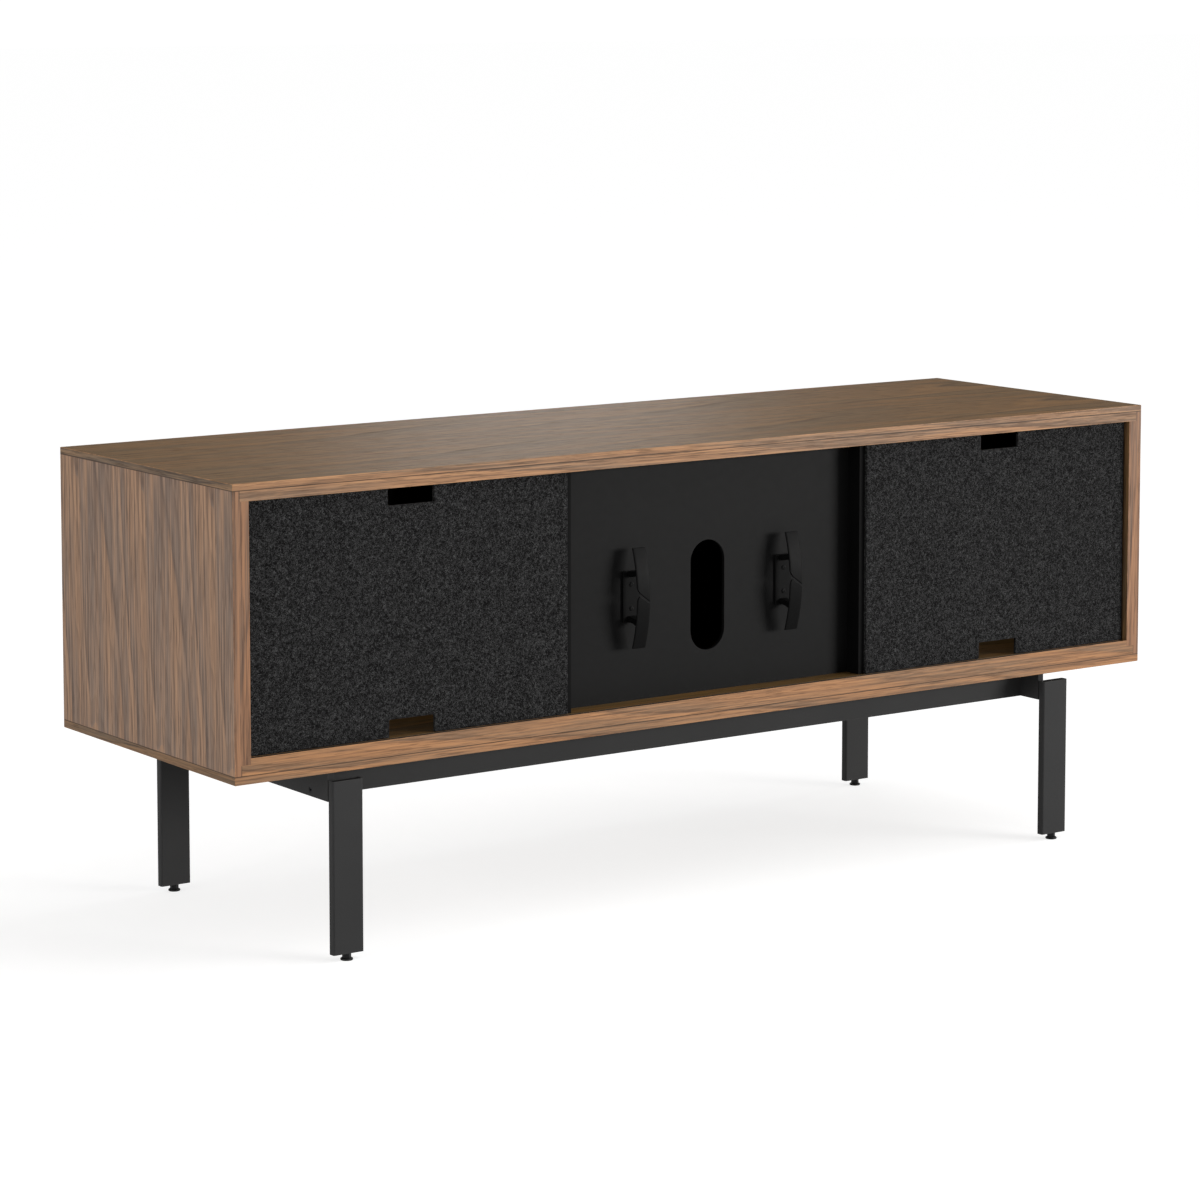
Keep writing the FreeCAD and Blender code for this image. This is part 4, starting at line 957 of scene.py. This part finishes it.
class CABINET_OT_knobs(bpy.types.Operator):
    """Turn the door knobs"""
    bl_idname = "cabinet.knobs"
    bl_label = "Door knobs"

    def execute(self, context):
        tones = context.scene.cabinet_black
        material = black_finish("knob_powder_coat", tuple(tones.powder), 0.42, 2200.0, bump=0.08)
        for door in ("left_door", "right_door", "centre_flap"):
            self.knob(door, material)
        return {"FINISHED"}

    @staticmethod
    def knob(door, material):
        """A flat head with a rounded rim, a waist that follows a half cosine wave, and a stud."""
        node = door + "_knob"
        low, high = corners(node)
        head = (high[0] - low[0]) / 2
        crown = [(head - KNOB_ROUND + s, KNOB_LENGTH - KNOB_ROUND + c)
                 for s, c in arc(KNOB_ROUND, 8)]
        waist = [(head - (head - KNOB_NECK) * (0.5 - 0.5 * math.cos(np.pi * t)),
                  KNOB_WAIST_TOP + (KNOB_WAIST_FOOT - KNOB_WAIST_TOP) * t)
                 for t in np.linspace(0, 1, 10)]
        foot = [(KNOB_NECK, 0.0016), (KNOB_NECK + 0.0003, 0.0006), (KNOB_NECK + 0.001, 0.0)]
        stud = [(KNOB_STUD, 0.0), (KNOB_STUD, KNOB_STUD_POINT - KNOB_STUD_LENGTH),
                (KNOB_STUD - KNOB_STUD_POINT, -KNOB_STUD_LENGTH), (0, -KNOB_STUD_LENGTH)]
        points, faces = turned([(0, KNOB_LENGTH)] + crown + waist + foot + stud,
                               ((low[0] + high[0]) / 2, high[1] - KNOB_LENGTH,
                                (low[2] + high[2]) / 2), axis="Y")
        piece_from("turned_" + node, points, faces, material, door, node)


class CABINET_OT_fittings(bpy.types.Operator):
    """Finish the screws, pins, magnets, bushes, catches and dowels"""
    bl_idname = "cabinet.fittings"
    bl_label = "Fittings"

    def execute(self, context):
        self.cleat_screws()
        dress(bare_metal("zinc_plate", (0.55, 0.55, 0.56), 0.30), "left_cover_discs",
              "right_cover_discs", "cover_magnets", "shelf_pins", "door_pivot_pins",
              "base_screws", "left_door_strike", "right_door_strike", "centre_flap_strike")
        dress(black_finish("black_oxide", (0.02, 0.02, 0.022), 0.36, 800.0, metallic=0.7),
              "frame_bolts")
        plastic = tuple(context.scene.cabinet_black.plastic)
        dress(black_finish("catch_plastic", plastic, 0.45, 1000.0), "magnetic_catches")
        dress(pale_finish("natural_nylon", (0.55, 0.55, 0.50), 0.45, (220.0, 220.0, 220.0)),
              "left_door_bushes", "right_door_bushes", "centre_flap_bushes")
        dress(pale_finish("beech_dowel", (0.50, 0.34, 0.20), 0.6, (900.0, 900.0, 60.0)),
              "divider_dowels")
        return {"FINISHED"}

    @staticmethod
    def cleat_screws():
        """Pan heads with a cross recess, on plain shanks.

        The head is the dome tall * sqrt(1 - (r / head) ** 4), sunk by the recess's depth wherever
        |u| or |v| is under its half width and r is under its reach.
        """
        material = black_finish("screw_black_oxide", (0.012, 0.012, 0.0122), 0.5, 900.0,
                                gloss=0.1)
        low, high = corners("cleat_screws")
        radius = np.concatenate([np.linspace(0, 0.0026, 14), [0.0030, 0.0033, SCREW_HEAD]])
        dome = SCREW_HEAD_TALL * np.sqrt(np.clip(1 - (radius / SCREW_HEAD) ** 4, 0, 1))
        angle = np.linspace(0, 2 * np.pi, 48, endpoint=False)
        r, a = np.meshgrid(radius, angle, indexing="ij")
        u, v = r * np.cos(a), r * np.sin(a)
        cross = ((abs(u) < RECESS_HALF) | (abs(v) < RECESS_HALF)) & (r < RECESS_REACH)
        rise = dome[:, None] - RECESS_DEPTH * cross
        seat = low[1] + SCREW_HEAD_TALL
        reach = high[1] - seat
        stem = [(SCREW_HEAD, 0.0), (SCREW_SHANK, 0.0), (SCREW_SHANK, reach - 0.001), (0, reach)]
        parts = []
        for x in (low[0] + SCREW_HEAD, high[0] - SCREW_HEAD):
            for z in (low[2] + SCREW_HEAD, high[2] - SCREW_HEAD):
                cap = np.stack([x + u, seat - rise, z + v], axis=-1).reshape(-1, 3)
                parts.append((cap, grid_faces(len(radius), len(angle), wrap=True)))
                parts.append(turned(stem, (x, seat, z), axis="Y"))
        points, faces = join(parts)
        piece_from("cross_head_cleat_screws", points, faces, material, "case", "cleat_screws",
                   shade=False)


class CABINET_OT_studio(bpy.types.Operator):
    """Lay the floor and place the lights and the camera"""
    bl_idname = "cabinet.studio"
    bl_label = "Studio"

    def execute(self, context):
        scene = context.scene
        studio = scene.cabinet_studio
        self.floor(scene, studio)
        self.sky(scene, studio)
        self.light(scene, "front light", studio.front, (7.4, -8.0, 1.9), (0.0, 0.0, 0.45),
                   (4.2, 2.0), (1.0, 0.985, 0.965))
        self.light(scene, "left light", studio.left, (-5.2, -0.4, 1.4), (0.0, 0.0, 0.45),
                   (3.0, 2.0), WHITE)
        self.light(scene, "far light", studio.far, (2.68, 4.18, 1.5), (0.0, 0.0, 0.7),
                   (1.0, 1.8), WHITE)
        for x in (-0.545, 0.545):
            self.light(scene, "inside light", studio.inside, (x, -0.12, 0.465), (x, -0.12, 0.0),
                       (0.3, 0.15), (1.0, 0.97, 0.92))
        self.sun(scene, studio.overhead)
        self.camera(scene, studio)
        scene.view_settings.view_transform = "Standard"
        return {"FINISHED"}

    @staticmethod
    def floor(scene, studio):
        """A plain pale floor that glows like a light table: a flat grid."""
        lines = np.linspace(-FLOOR_REACH, FLOOR_REACH, 9)
        gx, gy = np.meshgrid(lines, lines, indexing="ij")
        points = np.stack([gx, gy, 0 * gx], axis=-1).reshape(-1, 3)
        mesh = bpy.data.meshes.new("studio_floor")
        mesh.from_pydata(points.tolist(), [], grid_faces(len(lines), len(lines)))
        material, tree, shader, point, _ = new_material("pale_floor")
        tone = blend_colours(tree, smooth(tree, noise(tree, point, 30.0, 3.0), 0.3, 0.7),
                             (0.44, 0.44, 0.44), (0.46, 0.46, 0.46))
        seen = add(tree, "ShaderNodeLightPath").outputs["Is Camera Ray"]
        for key, value in (("Base Color", tone), ("Roughness", 0.8), ("Specular IOR Level", 0.0),
                           ("Emission Color", WHITE),
                           ("Emission Strength", smooth(tree, seen, 0.0, 1.0, studio.bounce,
                                                        studio.table))):
            feed(tree, shader.inputs[key], value)
        mesh.materials.append(material)
        floor = bpy.data.objects.new("studio_floor", mesh)
        scene.collection.objects.link(floor)

    @staticmethod
    def sky(scene, studio):
        """A white backdrop, with a dimmer room round the object."""
        world = bpy.data.worlds.new("studio")
        world.use_nodes = True
        scene.world = world
        tree = world.node_tree
        background = next(n for n in tree.nodes if n.type == "BACKGROUND")
        seen = add(tree, "ShaderNodeLightPath").outputs["Is Camera Ray"]
        feed(tree, background.inputs["Color"], WHITE)
        feed(tree, background.inputs["Strength"],
             smooth(tree, seen, 0.0, 1.0, studio.room, studio.back))

    @staticmethod
    def light(scene, name, power, at, target, size, colour):
        """A soft rectangular lamp that faces its target."""
        lamp = bpy.data.lights.new(name, "AREA")
        lamp.shape = "RECTANGLE"
        lamp.size, lamp.size_y = size
        lamp.energy = power
        lamp.color = colour
        piece = bpy.data.objects.new(name, lamp)
        piece.location = at
        piece.rotation_euler = (Vector(target) - Vector(at)).to_track_quat("-Z", "Y").to_euler()
        scene.collection.objects.link(piece)

    @staticmethod
    def sun(scene, strength):
        """A very wide, soft lamp: the same light on the whole floor, and a soft shadow."""
        lamp = bpy.data.lights.new("overhead light", "SUN")
        lamp.energy = strength
        lamp.angle = math.radians(SUN_SPREAD)
        piece = bpy.data.objects.new("overhead light", lamp)
        piece.rotation_euler = Vector(SUN_TOWARDS).to_track_quat("Z", "Y").to_euler()
        scene.collection.objects.link(piece)

    @staticmethod
    def camera(scene, studio):
        """The camera, from its place, its bearing from +Y towards +X, and its downward tilt."""
        data = bpy.data.cameras.new("camera")
        data.lens = studio.lens
        data.shift_y = studio.lift
        data.clip_end = 200.0
        piece = bpy.data.objects.new("camera", data)
        bearing, tilt = math.radians(CAMERA_BEARING), math.radians(CAMERA_TILT)
        forward = Vector((math.sin(bearing) * math.cos(tilt), math.cos(bearing) * math.cos(tilt),
                          -math.sin(tilt)))
        piece.location = CAMERA_AT
        piece.rotation_euler = forward.to_track_quat("-Z", "Y").to_euler()
        scene.collection.objects.link(piece)
        scene.camera = piece


SETTINGS = {"cabinet_wood": CabinetWood, "cabinet_felt": CabinetFelt,
            "cabinet_black": CabinetBlack, "cabinet_studio": CabinetStudio}
STEPS = (CABINET_OT_walnut, CABINET_OT_black_boards, CABINET_OT_felt_covers,
         CABINET_OT_cord_cleats, CABINET_OT_steel_frame, CABINET_OT_feet, CABINET_OT_knobs,
         CABINET_OT_fittings, CABINET_OT_studio)


class CABINET_PT_panel(bpy.types.Panel):
    """Lists the steps in order, and the settings"""
    bl_idname = "CABINET_PT_panel"
    bl_label = "Media cabinet"
    bl_space_type = "VIEW_3D"
    bl_region_type = "UI"
    bl_category = "Cabinet"

    def draw(self, context):
        for step in STEPS:
            self.layout.operator(step.bl_idname)
        for name in SETTINGS:
            settings = getattr(context.scene, name)
            for key in settings.bl_rna.properties.keys():
                if key not in ("rna_type", "name"):
                    self.layout.prop(settings, key)


def register():
    for cls in (*SETTINGS.values(), *STEPS, CABINET_PT_panel):
        bpy.utils.register_class(cls)
    for name, cls in SETTINGS.items():
        setattr(bpy.types.Scene, name, bpy.props.PointerProperty(type=cls))


def unregister():
    for name in SETTINGS:
        delattr(bpy.types.Scene, name)
    for cls in (CABINET_PT_panel, *reversed(STEPS), *reversed(SETTINGS.values())):
        bpy.utils.unregister_class(cls)


def main():
    register()
    for step in STEPS:
        area, name = step.bl_idname.split(".")
        getattr(getattr(bpy.ops, area), name)()


if __name__ == "__main__":
    main()
